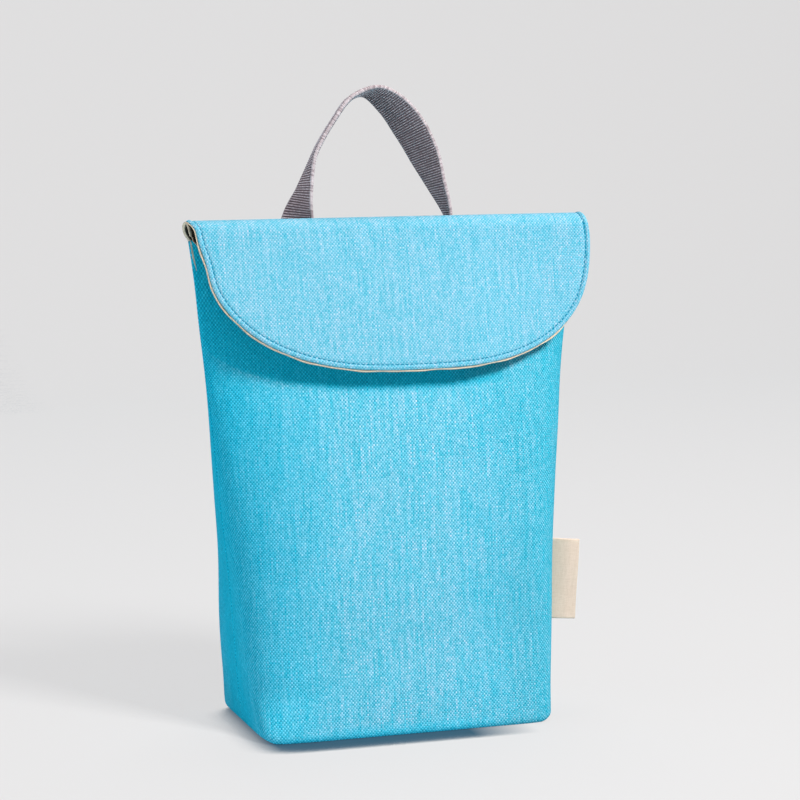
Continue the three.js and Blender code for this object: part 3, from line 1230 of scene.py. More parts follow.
        fades = [smoothstep(shares, *self.lift_under), 1 - smoothstep(heights, 0, self.lift_fades)]
        face[..., 2] += self._side_lift(-half.value * face[..., 0]) * np.concatenate(fades)[:, None]
        return face, np.array(under_flat + flat)

    def _side_lift(self, x: Array) -> Array:
        """How far the base edge stands off the floor towards both sides."""
        lifts = self.side_lifts.items()
        return sum(high * smoothstep(end.value * x, *self.lift_across) for end, high in lifts)

    def _soften(self, points: Array, flat: Array, normals: Array, half: Half) -> Array:
        """Shifts that give the cloth its ridge along the side seam and its shallow dents.

        Args:
            points: points of the outer face.
            flat: their flat places.
            normals: their unit normals.
            half: front or back.

        Returns:
            One shift for each point.
        """
        x, y, z = points.T
        around, up = flat.T
        shift = np.zeros(len(points))
        for place, height, depth, wide, tall in self.dents[half]:
            shift -= depth * bell(around, place, wide) * bell(up, height, tall)
        half_width, half_depth = self.section(z)[:, :2].T
        begins, full = self.ridge_across
        on_side = smoothstep(np.abs(x), begins * half_width, full * half_width)
        upright = (1 - smoothstep(z, *self.ridge_fades)) * smoothstep(z, *self.ridge_from)
        tent = self.ridge * (half_depth * self.ridge_foot - np.abs(y))
        shift += on_side * upright * tent
        return normals * (shift * smoothstep(z, *self.dents_from))[:, None]

    def build(self, half: Half) -> tuple[Piece, float]:
        """Makes one panel.

        Args:
            half: front or back.

        Returns:
            The piece and the area of its cloth in square metres.
        """
        outer, flat = self._face(False, half)
        inner, _ = self._face(True, half)
        outer, inner = (self.raise_ends(face) for face in (outer, inner))
        joined = grid_topology(*outer.shape[:2])
        outer, inner, flat = (a.reshape(-1, a.shape[-1]) for a in (outer, inner, flat))
        shift = self._soften(outer, flat, surface_normals(outer, joined), half)
        outer, inner = outer + shift, inner + shift
        if half is Half.BACK:
            outer, inner = outer * (-1, -1, 1), inner * (-1, -1, 1)
        piece = cloth_wall(f"{half.name.lower()}_cloth", outer, inner, flat, joined, self.rim_bulge)
        return piece, face_area(outer, joined)

    def dressed(self, effects: ClothEffects) -> dict[Half, Piece]:
        """Makes both panels in their cloth.

        Args:
            effects: the shared node groups.

        Returns:
            The panels.
        """
        cloth = POUCH_CLOTH.material(effects)
        panels = {}
        for half in Half:
            panel, area = self.build(half)
            dress(panel, cloth)
            settle(panel, "pouch_cloth", f"{half.name.lower()}_panel")
            panels[half] = panel
        return panels


@dataclass
class FlapPattern:
    """The flat cut of one flap ply, joined into faces.

    Attributes:
        places: across and along from the fold for each point, in millimetres.
        inset: distance of each point from the free edge.
        joined: how the points are joined.
        rings: point numbers of each ring, from the free edge inwards.
    """

    places: Array
    inset: Array
    joined: Topology
    rings: Array


@dataclass
class Flap:
    """The lid flap: an outer cloth and a doubled lining, sewn round the free edge and rolled over the mouth.

    Attributes:
        pouch: the pouch that it is sewn to.
        fold_height: height of the top of the fold.
        fold_radius: radius of the fold.
        front_slope: lean of the front from upright.
        back_slope: lean of the back.
        back_length: length from the fold to the seam on the back.
        back_edges: length from the fold, and the half width to the left and to the right, down the back.
        narrows_front: how much narrower the front is than the fold at each end.
        narrows_over: length over which it gets narrower.
        shift: how far the front lies to the right of the fold.
        nip: how far the left edge is drawn in, the middle of that place below the fold, and its reach.
        drop: fall from the fold to the lip.
        corner_squareness: how square the front's corners are, 2 for round.
        hug: how far the right part of the flap bends back onto the pouch, at the lip.
        hug_across: places of that bend across the bag.
        shadow_fade: distances below the lip over which the flap's painted shadow on the pouch fades.
        shadow_fade_across: places across the bag over which it fades too.
        shadow_fade_rise: how much of the lip's rise towards its ends that limit follows.
        cloth: thickness of the outer cloth.
        rim_bulge: how far the middle of its rim stands out.
        edge_radius: radius of its edge.
        ridge: height of the padded edge, its place from the edge and its spread.
        groove: depth of the stitched groove, its place from the edge and its spread.
        sewn_room: distance from the pouch at the back seam.
        lining_cloth: thickness of a lining ply.
        lining_bulge: how far the middle of a ply's rim stands out.
        lining_round: radius of a ply's edge as a share of its thickness.
        lining_shows: how far the lining's edge stands out past the outer cloth.
        lining_wavers: how far that edge wavers.
        wavers: for each of its waves the length in which it turns by one radian, its share and its start.
        edge_curl: how far that edge curls forward past the outer cloth.
        ply_gap: distance between plies where they lie together.
        gape: how far the two lining plies part at the ends of the fold.
        gape_reach: distances from the end over which that parting fades.
        gape_span: lengths from the top of the fold where it opens, is full, closes and is shut.
        drawn: how much narrower the inner ply is down the back.
        drawn_across: distances of that from the middle.
        drawn_down: lengths of it down the back.
        gap_shade_from: distances from the edge where the painted shade between the plies begins and is full.
        tucks: places across the bag over which the lining's edge draws in under the right side.
        tucked: how far it draws in, as a share of what it shows elsewhere.
        sliver_span: heights between which the lining peeps out beside the left side seam.
        sliver_root: how far in from the seam its root is, and how far towards the front.
        sliver_stands: how far it stands out there.
        sliver_taper: heights from its foot over which it comes out.
        sliver_grid: rows and columns of its points.
        ring_insets: distances of the rings of points from the free edge.
        side_count: faces down each side.
        lip_count: faces along the lip.
        edge_points: points worked out for each part of the front edge.
        back_points: points worked out down the back edge.
        relax_rounds: rounds of smoothing of the net.
        stitch: sizes of a stitch.
        stitch_lift: how far the thread's middle lies above the cloth.
        back_stitch_inset: distance of the back's row from the seam's edge.
        back_stitch_points: points along that row.
        outer_cut: flat width and length of the outer cloth, in metres; not used.
        lining_cut: flat width and length of the doubled lining, in metres; not used.
    """

    PROBE = 0.05

    pouch: Pouch
    fold_height: float = 306.0
    fold_radius: float = 10.0
    front_slope: float = math.radians(18)
    back_slope: float = math.radians(9)
    back_length: float = 46.0
    back_edges: Array = table(
        (-46, 114, 117.5),
        (-30, 115, 119.5),
        (-22, 116, 121),
        (-18, 118.9, 122),
        (-15, 120.8, 123),
        (-11, 122.1, 124.3),
        (-6, 122.8, 125.3),
        (0, 123, 126),
    )
    narrows_front: dict[End, float] = ends(0.5, 0.8)
    narrows_over: dict[End, float] = ends(12.0, 22.0)
    shift: float = 2.6
    nip: tuple[float, float, float] = (2.4, 31.0, 13.0)
    drop: float = 88.3
    corner_squareness: dict[End, float] = ends(2.45, 3.05)
    hug: float = 11.5
    hug_across: Span = (35.0, 115.0)
    shadow_fade: Span = (9.5, 16.0)
    shadow_fade_across: Span = (58.0, 92.0)
    shadow_fade_rise: float = 0.45
    cloth: float = 1.2
    rim_bulge: float = 0.1
    edge_radius: float = 0.5
    ridge: tuple[float, float, float] = (0.55, 1.6, 0.9)
    groove: tuple[float, float, float] = (0.5, 3.2, 0.5)
    sewn_room: float = 3.0
    lining_cloth: float = 0.55
    lining_bulge: float = 0.3
    lining_round: float = 0.4
    lining_shows: float = 0.75
    lining_wavers: float = 0.2
    wavers: tuple = ((5.1, 1.0, 0.0), (2.9, 0.6, 1.3))
    edge_curl: float = 0.95
    ply_gap: float = 0.05
    gape: float = 7.2
    gape_reach: Span = (8.0, 40.0)
    gape_span: tuple[float, float, float, float] = (2.5, 9.0, 14.0, 20.5)
    drawn: float = 2.8
    drawn_across: Span = (80.0, 124.0)
    drawn_down: Span = (0.0, 7.0)
    gap_shade_from: Span = (0.85, 1.25)
    tucks: Span = (104.0, 114.0)
    tucked: float = 1.4
    sliver_span: Span = (268.0, 282.0)
    sliver_root: Span = (2.6, 1.6)
    sliver_stands: float = 1.4
    sliver_taper: Span = (-1.0, 7.0)
    sliver_grid: tuple[int, int] = (24, 4)
    ring_insets: tuple = (0, 0.2, 0.5, 0.8, 1.1, 1.5, 1.9, 2.3, 2.65, 2.9, 3.2, 3.5, 3.8, 4.4, 5.6, 8.0)
    side_count: int = 90
    lip_count: int = 170
    edge_points: int = 300
    back_points: int = 60
    relax_rounds: int = 120
    stitch: dict[str, float] = stitch_sizes(pitch=3.0, length=2.4, width=0.9, height=0.6)
    stitch_lift: float = 0.1
    back_stitch_inset: float = 3.0
    back_stitch_points: int = 160
    outer_cut: Span = (0.253, 0.144)
    lining_cut: Span = (0.255, 0.29)

    def profile(self, x: Array, s: Array) -> Array:
        """Side profile of the flap.

        Args:
            x: places across the bag.
            s: lengths from the top of the fold, positive down the front.

        Returns:
            Y and Z for each place.
        """
        slope = np.where(s > 0, self.front_slope, self.back_slope)
        bend = math.pi / 2 - slope
        arc = np.minimum(np.abs(s) / self.fold_radius, bend)
        straight = np.abs(s) - arc * self.fold_radius
        z = self.fold_height - self.fold_radius * (1 - np.cos(arc)) - straight * np.cos(slope)
        away = self.fold_radius * np.sin(arc) + straight * np.sin(slope)
        back_straight = self.back_length - (math.pi / 2 - self.back_slope) * self.fold_radius
        sewn = smoothstep(straight, 0, back_straight)
        behind = away + (self.pouch.depth(x, z) + self.sewn_room - away) * sewn
        hugs = self.hug * smoothstep(x, *self.hug_across) * straight / self.drop
        return np.stack([np.where(s > 0, hugs - away, behind), z], axis=-1)

    def half_width(self, end: End) -> float:
        """Half of the flap's width along the fold, to one end."""
        return float(self.back_edges[-1, 1 if end is End.LEFT else 2])

    def lift(self, places: Array, depth: Array) -> Array:
        """Points of the flap in space.

        Args:
            places: across and along from the fold.
            depth: how deep each point lies under the outer surface.

        Returns:
            X, Y and Z of each point.
        """
        x, s = places.T
        at = self.profile(x, s)
        along = unit(self.profile(x, s + self.PROBE) - self.profile(x, s - self.PROBE))
        return np.stack([x, at[:, 0] - along[:, 1] * depth, at[:, 1] + along[:, 0] * depth], axis=1)

    def _front_length(self, fall: Array) -> Array:
        """Length down the front from the fold.

        Args:
            fall: heights below the top of the fold.

        Returns:
            The length for each fall.
        """
        bend = math.pi / 2 - self.front_slope
        fold_fall = self.fold_radius * (1 - math.cos(bend))
        round_part = self.fold_radius * np.arccos(np.clip(1 - fall / self.fold_radius, -1, 1))
        straight = bend * self.fold_radius + (fall - fold_fall) / math.cos(self.front_slope)
        return np.where(fall < fold_fall, round_part, straight)

    def _front_edge(self, end: End) -> Array:
        """The free edge of the front, from one end of the fold down to the middle of the lip.

        Args:
            end: left or right.

        Returns:
            Closely set places across and along.
        """
        squareness = self.corner_squareness[end]
        across, down = rounded_quarter(squareness, squareness, self.edge_points)
        s = self._front_length(self.drop * down)
        below = smoothstep(s, 0, self.narrows_over[end])
        half_width = self.half_width(end) - self.narrows_front[end] * below
        x = end.value * across * half_width + self.shift * below
        if end is End.LEFT:
            depth, middle, reach = self.nip
            x = x + depth * bell(s, middle, reach)
        return np.stack([x, s], axis=1)

    def _edge(self, margin: float, waviness: float) -> Array:
        """The whole free edge, from the left back corner round the lip to the right back corner.

        Args:
            margin: how far it lies outside the outer cloth's edge.
            waviness: how far it wavers in and out.

        Returns:
            Evenly set places, with the two sides and the lip in their own counts.
        """
        back = np.linspace(-self.back_length, 0, self.back_points)[:-1]
        halves = smooth_rows(self.back_edges[:, 0], self.back_edges[:, 1:], back).T
        sides = []
        corners = []
        for end, half in zip(End, halves):
            side = np.vstack([np.stack([end.value * half, back], axis=1), self._front_edge(end)])
            lean = unit(np.gradient(side, axis=0))
            corner = int(np.argmax((side[:, 1] > 0) & (np.abs(lean[:, 0]) > np.abs(lean[:, 1]))))
            sides.append(side)
            corners.append(path_length(side)[corner])
        line = np.vstack([sides[0], sides[1][-2::-1]])
        run = path_length(line)
        stops = (0, corners[0], run[-1] - corners[1], run[-1])
        counts = (self.side_count, self.lip_count, self.side_count)
        stretches = [np.linspace(a, b, n + 1)[:-1] for a, b, n in zip(stops, stops[1:], counts)]
        places = np.concatenate(stretches + [run[-1:]])
        even = along_path(line, places)
        wave = sum(share * np.sin(places / length + start) for length, share, start in self.wavers)
        out = (margin + waviness * wave) * (1 - self.tucked * self._tucked_in(even))
        return even - self._inward(even) * out[:, None]

    def _tucked_in(self, places: Array) -> Array:
        """Share by which the lining's edge is drawn in under the outer cloth, up the right side."""
        return smoothstep(places[:, 0], *self.tucks)

    @staticmethod
    def _inward(edge: Array) -> Array:
        """Directions from the free edge into the cloth.

        Args:
            edge: places along the edge.

        Returns:
            Unit directions, level at both back corners.
        """
        along = unit(np.gradient(edge, axis=0))
        inward = np.stack([along[:, 1], -along[:, 0]], axis=1)
        inward[[0, -1]] = ((1, 0), (-1, 0))
        return inward

    def pattern(self, margin: float = 0.0, waviness: float = 0.0) -> FlapPattern:
        """Cuts a ply: rings along its free edge, and a smoothed net inside them.

        Args:
            margin: how far its edge lies outside the outer cloth's.
            waviness: how far that edge wavers.

        Returns:
            The flat cut.
        """
        edge = self._edge(margin, waviness)
        insets = np.array(self.ring_insets)
        rings = edge[None] + self._inward(edge)[None] * insets[:, None, None]
        ring = np.arange(rings[..., 0].size).reshape(rings.shape[:2])
        down = slice(None, self.side_count + 1)
        lip = slice(self.side_count, self.side_count + self.lip_count + 1)
        back_up = slice(None, self.side_count + self.lip_count - 1, -1)
        net = self._net(*(rings[-1][side] for side in (down, lip, back_up)))
        number = np.full(net.shape[:2], -1)
        number[:, 0] = ring[-1, down]
        number[-1] = ring[-1, lip]
        number[:, -1] = ring[-1, back_up]
        free = number < 0
        number[free] = ring.size + np.arange(free.sum())
        places = np.vstack([rings.reshape(-1, 2), net[free]])
        inset = np.concatenate([np.repeat(insets, len(edge)), np.full(free.sum(), insets[-1])])
        band = np.roll(quads(ring)[:, ::-1], 1, axis=1)
        border, inside = (
            np.concatenate([ring[k], ring[1:, -1 - k], number[k, -2:0:-1], ring[:0:-1, k]]) for k in range(2)
        )
        return FlapPattern(places, inset, Topology(np.vstack([band, quads(number)]), border, inside), ring)

    def _net(self, left: Array, lip: Array, right: Array) -> Array:
        """Fills the inside of a ply with a net of even faces.

        Args:
            left: places down the left side, from the back.
            lip: places along the lip, from left to right.
            right: places down the right side, from the back.

        Returns:
            Places in rows and columns.
        """
        rows, columns = len(left), len(lip)
        v = np.linspace(0, 1, rows)[:, None, None]
        u = np.linspace(0, 1, columns)[None, :, None]
        top = left[0] + (right[0] - left[0]) * u[0]
        net = (1 - v) * top + v * lip[None] + (1 - u) * left[:, None] + u * right[:, None]
        net -= (1 - u) * (1 - v) * top[0] + u * (1 - v) * top[-1] + (1 - u) * v * lip[0] + u * v * lip[-1]
        for _ in range(self.relax_rounds):
            net[1:-1, 1:-1] = (net[:-2, 1:-1] + net[2:, 1:-1] + net[1:-1, :-2] + net[1:-1, 2:]) / 4
        return net

    def _hem(self, inset: Array) -> Array:
        """Rise of the outer surface near its edge: the padding, less the groove that the stitches pull in."""
        (ridge, *ridge_place), (groove, *groove_place) = self.ridge, self.groove
        return ridge * bell(inset, *ridge_place) - groove * bell(inset, *groove_place)

    def _gape(self, places: Array) -> Array:
        """How far the inner lining ply stands off near both ends of the fold.

        Args:
            places: across and along from the fold.

        Returns:
            One distance for each place.
        """
        x, s = places.T
        end = np.where(x < 0, self.half_width(End.LEFT), self.half_width(End.RIGHT))
        near = 1 - smoothstep(end - np.abs(x), *self.gape_reach)
        opens, full, closes, shut = self.gape_span
        eye = smoothstep(np.abs(s), opens, full) * (1 - smoothstep(np.abs(s), closes, shut))
        return self.gape * near * eye

    def _drawn_in(self, places: Array) -> Array:
        """Moves the inner lining ply in, which is narrower down the back than the outer one.

        Args:
            places: across and along from the fold.

        Returns:
            The places of the narrower ply.
        """
        x, s = places.T
        inwards = self.drawn * smoothstep(np.abs(x), *self.drawn_across) * smoothstep(-s, *self.drawn_down)
        return np.stack([x - np.sign(x) * inwards, s], axis=1)

    def build_outer(self) -> tuple[Piece, float, FlapPattern]:
        """Makes the outer cloth.

        Returns:
            The piece, its area in square metres and its cut.
        """
        cut = self.pattern()
        roll = turned_edge(cut.inset, self.edge_radius)
        outer = self.lift(cut.places, roll - self._hem(cut.inset))
        inner = self.lift(cut.places, self.cloth - roll)
        piece = cloth_wall("flap_outer_cloth", outer, inner, cut.places, cut.joined, self.rim_bulge)
        return piece, face_area(outer, cut.joined), cut

    def build_lining(self) -> tuple[Piece, float]:
        """Makes the lining, a doubled cloth whose plies part at the ends of the fold.

        Returns:
            The piece and its area in square metres, of both plies.
        """
        cut = self.pattern(self.lining_shows, self.lining_wavers)
        roll = turned_edge(cut.inset, self.lining_cloth * self.lining_round)
        shows = 1 - smoothstep(cut.inset, 0, self.lining_shows)
        depth = self.cloth + self.ply_gap - self.edge_curl * shows * (1 - self._tucked_in(cut.places))
        parted = self.lining_cloth + self.ply_gap + self._gape(cut.places)
        # Painted shade on the faces of the plies that face each other, away from the edge.
        gap_shade = smoothstep(cut.inset, *self.gap_shade_from)
        plain = np.zeros(len(cut.places))
        rim = np.zeros(len(cut.joined.border))
        plies = (
            ("lining_outer_ply", cut.places, plain, (plain, gap_shade, rim)),
            ("lining_inner_ply", self._drawn_in(cut.places), parted, (gap_shade, plain, rim)),
        )
        pieces = []
        area = 0.0
        for name, places, stand, shades in plies:
            top = self.lift(places, depth + stand + roll)
            under = self.lift(places, depth + stand + self.lining_cloth - roll)
            ply = cloth_wall(name, top, under, cut.places, cut.joined, self.lining_bulge)
            mark(ply.data, PLY_GAP_SHADE, np.concatenate(shades))
            pieces.append(ply)
            area += face_area(top, cut.joined)
        return joined_pieces("flap_lining_cloth", [*pieces, self._seam_sliver()]), area

    def _seam_sliver(self) -> Piece:
        """Makes the narrow end of the lining that peeps out beside the top of the left side seam.

        Returns:
            The sliver.
        """
        rows, columns = self.sliver_grid
        heights = np.linspace(*self.sliver_span, rows)
        inwards, forwards = self.sliver_root
        root = inwards - self.pouch.section(heights)[:, 0]
        comes_out = smoothstep(heights - heights[0], *self.sliver_taper)
        x = root[:, None] - self.sliver_stands * comes_out[:, None] * np.linspace(0, 1, columns)
        z = np.broadcast_to(heights[:, None], x.shape)
        faces = []
        for y in (-self.lining_cloth / 2, self.lining_cloth / 2):
            level = np.stack([x, np.full_like(x, y - forwards), z], axis=-1)
            faces.append(self.pouch.raise_ends(level).reshape(-1, 3))
        flat = faces[0][:, ::2]
        sliver = cloth_wall("lining_sliver", *faces, flat, grid_topology(rows, columns), self.rim_bulge)
        mark(sliver.data, PLY_GAP_SHADE, np.zeros(len(sliver.data.vertices)))
        return sliver

    def mark_painted_lip_shadow(self, panel: Piece, cut: FlapPattern) -> None:
        """Marks where the flap's shadow is painted on the pouch cloth, under and just below the lip.

        Args:
            panel: the front panel.
            cut: the outer cloth's cut.
        """
        places = cut.places[cut.rings[0]]
        front = places[places[:, 1] > 0]
        lip = self.lift(front[np.argsort(front[:, 0])], np.zeros(len(front)))
        points = np.empty(len(panel.data.vertices) * 3, dtype=np.float32)
        panel.data.vertices.foreach_get("co", points)
        x, _, z = points.reshape(-1, 3).T / MM
        lowest = lip[:, 2].min()
        below = lowest + self.shadow_fade_rise * (np.interp(x, lip[:, 0], lip[:, 2]) - lowest) - z
        painted_lip_shadow = (1 - smoothstep(below, *self.shadow_fade)) * (1 - smoothstep(x, *self.shadow_fade_across))
        mark(panel.data, LIP_SHADOW, painted_lip_shadow)

    def stitch_paths(self, cut: FlapPattern) -> Paths:
        """Rows of stitches: one round the free edge and one along the back seam.

        Args:
            cut: the outer cloth's cut.

        Returns:
            For each row its points and normals.
        """
        groove_depth, groove_at, _ = self.groove
        round_edge = cut.places[cut.rings[self.ring_insets.index(groove_at)]]
        across = np.linspace(round_edge[0, 0], round_edge[-1, 0], self.back_stitch_points)
        along = np.full(self.back_stitch_points, self.back_stitch_inset - self.back_length)
        paths = []
        for places, sunk in ((round_edge, groove_depth), (np.stack([across, along], axis=1), 0.0)):
            depth = np.full(len(places), sunk - self.stitch_lift)
            on_cloth = self.lift(places, depth)
            paths.append((on_cloth, unit(self.lift(places, depth - 1) - on_cloth)))
        return paths

    def dressed(self, effects: ClothEffects, stitching: Stitching, front: Piece) -> list[Piece]:
        """Makes lining, outer cloth and stitches in their finishes.

        Args:
            effects: the shared node groups.
            stitching: maker of the stitches.
            front: the pouch's front panel, which the flap lies over and on which its shadow is painted.

        Returns:
            The pieces.
        """
        lining, lining_area = self.build_lining()
        dress(lining, LINING_CLOTH.material(effects))
        settle(lining, "lining_cloth", "flap_lining")
        outer, outer_area, cut = self.build_outer()
        dress(outer, FLAP_CLOTH.material(effects))
        settle(outer, "flap_cloth", "flap_outer")
        self.mark_painted_lip_shadow(front, cut)
        hem = stitching.rows("flap_stitches", self.stitch_paths(cut), self.stitch, BLUE_THREAD.material())
        settle(hem, "flap_cloth")
        return [lining, outer, hem]


@dataclass
class Handle:
    """The carrying loop: one length of ribbed webbing, sewn flat to the back at both ends.

    Attributes:
        pouch: the pouch that it is sewn to.
        width: width of the webbing.
        thickness: thickness in its middle.
        edge_thinning: how much thinner it is at its edges, as a share.
        edge_power: how near to the edges it keeps its thickness.
        sewn_lift: height of its middle above the pouch where it is sewn.
        stations: X, Y, height, turn about the upright and lean, in degrees, from end to end. Where Y is
            left open, the webbing lies on the pouch's back.
        fine: points worked out along the route.
        row_step: length of a row of faces.
        columns: faces across.
        rib_pitch: distance between ribs.
        rib_depth: height of a rib.
        ribs_end: shares of the half width over which the ribs fade.
        rim_bulge: how far the middle of an edge stands out.
        box_height: height of the boxed cross of stitches.
        box_inset: its distance from the webbing's end and edges.
        stitch: sizes of a stitch.
        stitch_lift: how far the thread's middle lies above the webbing.
        stitch_points: points along a row of stitches.
    """

    RUN = "run"
    RIBBED = "ribbed"

    pouch: Pouch
    width: float = 25.0
    thickness: float = 2.6
    edge_thinning: float = 0.15
    edge_power: int = 8
    sewn_lift: float = 1.8
    stations: tuple = (
        (-53, None, 220, 95, 0),
        (-53, None, 246, 95, 0),
        (-51.5, 19.6, 276, 70, 0),
        (-48.3, 24, 305, 30, 4),
        (-44, 25, 321, 5, 4),
        (-37, 27, 342, -13, 3),
        (-25, 30, 361, -15, 3),
        (-12, 32.5, 376, -12, 5),
        (1, 33.5, 380, 4, 14),
        (14, 33, 372, 18, 22),
        (25, 31, 358, 28, 23),
        (34, 29, 341, 22, 20),
        (41, 26.5, 323, 3, 14),
        (47.7, 24.5, 305, -12, 7),
        (51.5, 20, 276, -62, 0),
        (53, None, 246, -95, 0),
        (53, None, 220, -95, 0),
    )
    fine: int = 6000
    row_step: float = 0.3
    columns: int = 18
    rib_pitch: float = 1.5
    rib_depth: float = 0.3
    ribs_end: Span = (0.9, 1.0)
    rim_bulge: float = 0.7
    box_height: float = 20.0
    box_inset: float = 3.0
    stitch: dict[str, float] = stitch_sizes(pitch=2.6, length=2.0, width=0.6, height=0.5)
    stitch_lift: float = 0.1
    stitch_points: int = 40

    def _route(self) -> tuple[Array, Array, Array, Array]:
        """The middle of the webbing and the directions of its width and face.

        Returns:
            Points, unit widths, unit face normals and length from the left sewn end.
        """
        rows = []
        for x, y, z, turn, lean in self.stations:
            on_back = self.pouch.depth(np.array([x]), np.array([z]))[0] + self.sewn_lift
            rows.append((x, on_back if y is None else y, z, turn, lean))
        stations = np.array(rows, dtype=float)
        angles = np.column_stack([stations[:, 3:], np.zeros(len(stations))])
        middle = even_curve(stations[:, :3], self.fine)
        angle = np.radians(even_curve(angles, self.fine))
        run = path_length(middle)
        places = np.linspace(0, run[-1], int(run[-1] / self.row_step) + 1)
        middle = along_path(middle, places)
        turn, lean = (np.interp(places, run, angle[:, k]) for k in range(2))
        along = unit(np.gradient(middle, axis=0))
        across = np.stack([np.sin(turn) * np.cos(lean), -np.cos(turn) * np.cos(lean), np.sin(lean)], axis=1)
        across = unit(across - along * np.sum(across * along, axis=1, keepdims=True))
        return middle, across, np.cross(along, across), places

    def _ribs(self) -> Tree:
        """Builds the tree that raises ribs across the webbing.

        Returns:
            The geometry node tree.
        """
        sizes = dict.fromkeys(("Rib Pitch", "Rib Depth"), SocketKind.NUMBER)
        make, start, end = new_group(
            "webbing_ribs",
            TreeKind.GEOMETRY,
            {"Webbing": SocketKind.GEOMETRY, **sizes, "Finish": SocketKind.MATERIAL},
            {"Webbing": SocketKind.GEOMETRY},
        )
        rib = make.calc("MULTIPLY", make.wave(make.stored(self.RUN), start["Rib Pitch"]), start["Rib Depth"])
        rise = make.calc("MULTIPLY", rib, make.stored(self.RIBBED))
        normal = make.add("GeometryNodeInputNormal")["Normal"]
        offset = make.add("ShaderNodeVectorMath", {0: normal, "Scale": rise}, operation="SCALE")[0]
        shift = {"Geometry": start["Webbing"], "Offset": offset}
        raised = make.add("GeometryNodeSetPosition", shift)["Geometry"]
        make.close(raised, start["Finish"], end["Webbing"])
        return make.tree

    def build(self, finish: Material) -> tuple[Piece, float, tuple[Array, Array, Array]]:
        """Makes the webbing.

        Args:
            finish: its material.

        Returns:
            The piece, its length, and the middle, width and normal along it.
        """
        middle, across, normal, run = self._route()
        share = np.sin(np.linspace(-0.5, 0.5, self.columns + 1) * math.pi) / 2
        from_middle = 2 * np.abs(share)
        offsets = across[:, None] * (share * self.width)[None, :, None]
        plump = self.thickness / 2 * (1 - self.edge_thinning * from_middle**self.edge_power)
        lift = normal[:, None] * plump[None, :, None]
        outer = (middle[:, None] + offsets + lift).reshape(-1, 3)
        inner = (middle[:, None] + offsets - lift).reshape(-1, 3)
        flat = np.stack(np.broadcast_arrays((share * self.width)[None], run[:, None]), axis=-1).reshape(-1, 2)
        joined = grid_topology(len(run), self.columns + 1)
        blank = cloth_wall("webbing_blank", outer, inner, flat, joined, self.rim_bulge)
        mesh = blank.data.copy()
        bpy.data.objects.remove(blank)
        ribbed = np.tile(1 - smoothstep(from_middle, *self.ribs_end), len(run))
        mark(mesh, self.RUN, np.concatenate([flat[:, 1], flat[:, 1], flat[joined.border, 1]]) * MM)
        mark(mesh, self.RIBBED, np.concatenate([ribbed, ribbed, np.zeros(len(joined.border))]))
        values = {"Rib Pitch": self.rib_pitch * MM, "Rib Depth": self.rib_depth * MM, "Finish": finish}
        return applied("handle_webbing", mesh, self._ribs(), values), run[-1], (middle, across, normal)

    def stitch_paths(self, route: tuple[Array, Array, Array]) -> Paths:
        """Boxed crosses that hold both sewn ends.

        Args:
            route: middle, width and normal along the webbing.

        Returns:
            For each row its points and normals.
        """
        side = self.width / 2 - self.box_inset
        near, far = self.box_inset, self.box_inset + self.box_height
        box = [(near, -side), (near, side), (far, side), (far, -side), (near, -side)]
        lines = [*zip(box, box[1:]), (box[0], box[2]), (box[1], box[3])]
        run = np.arange(len(route[0])) * self.row_step
        lift = self.thickness / 2 + self.stitch_lift
        paths = []
        for end in End:
            for line in lines:
                steps = np.linspace(0, math.dist(*line), self.stitch_points)
                along, aside = along_path(np.array(line, dtype=float), steps).T
                at, wide, out = (
                    np.stack([np.interp(along, run, column) for column in part[:: -end.value].T], axis=1)
                    for part in route
                )
                out = unit(out * np.sign(out[:, 1:2]))
                paths.append((at + wide * aside[:, None] + out * lift, out))
        return paths

    def dressed(self, effects: ClothEffects, stitching: Stitching) -> list[Piece]:
        """Makes the webbing and its stitches in their finishes.

        Args:
            effects: the shared node groups.
            stitching: maker of the stitches.

        Returns:
            The pieces.
        """
        webbing, length, route = self.build(WEBBING_CLOTH.material(effects))
        settle(webbing, "webbing", "handle_strap")
        thread = GREY_THREAD.material()
        crosses = stitching.rows("handle_stitches", self.stitch_paths(route), self.stitch, thread)
        settle(crosses, "webbing")
        return [webbing, crosses]


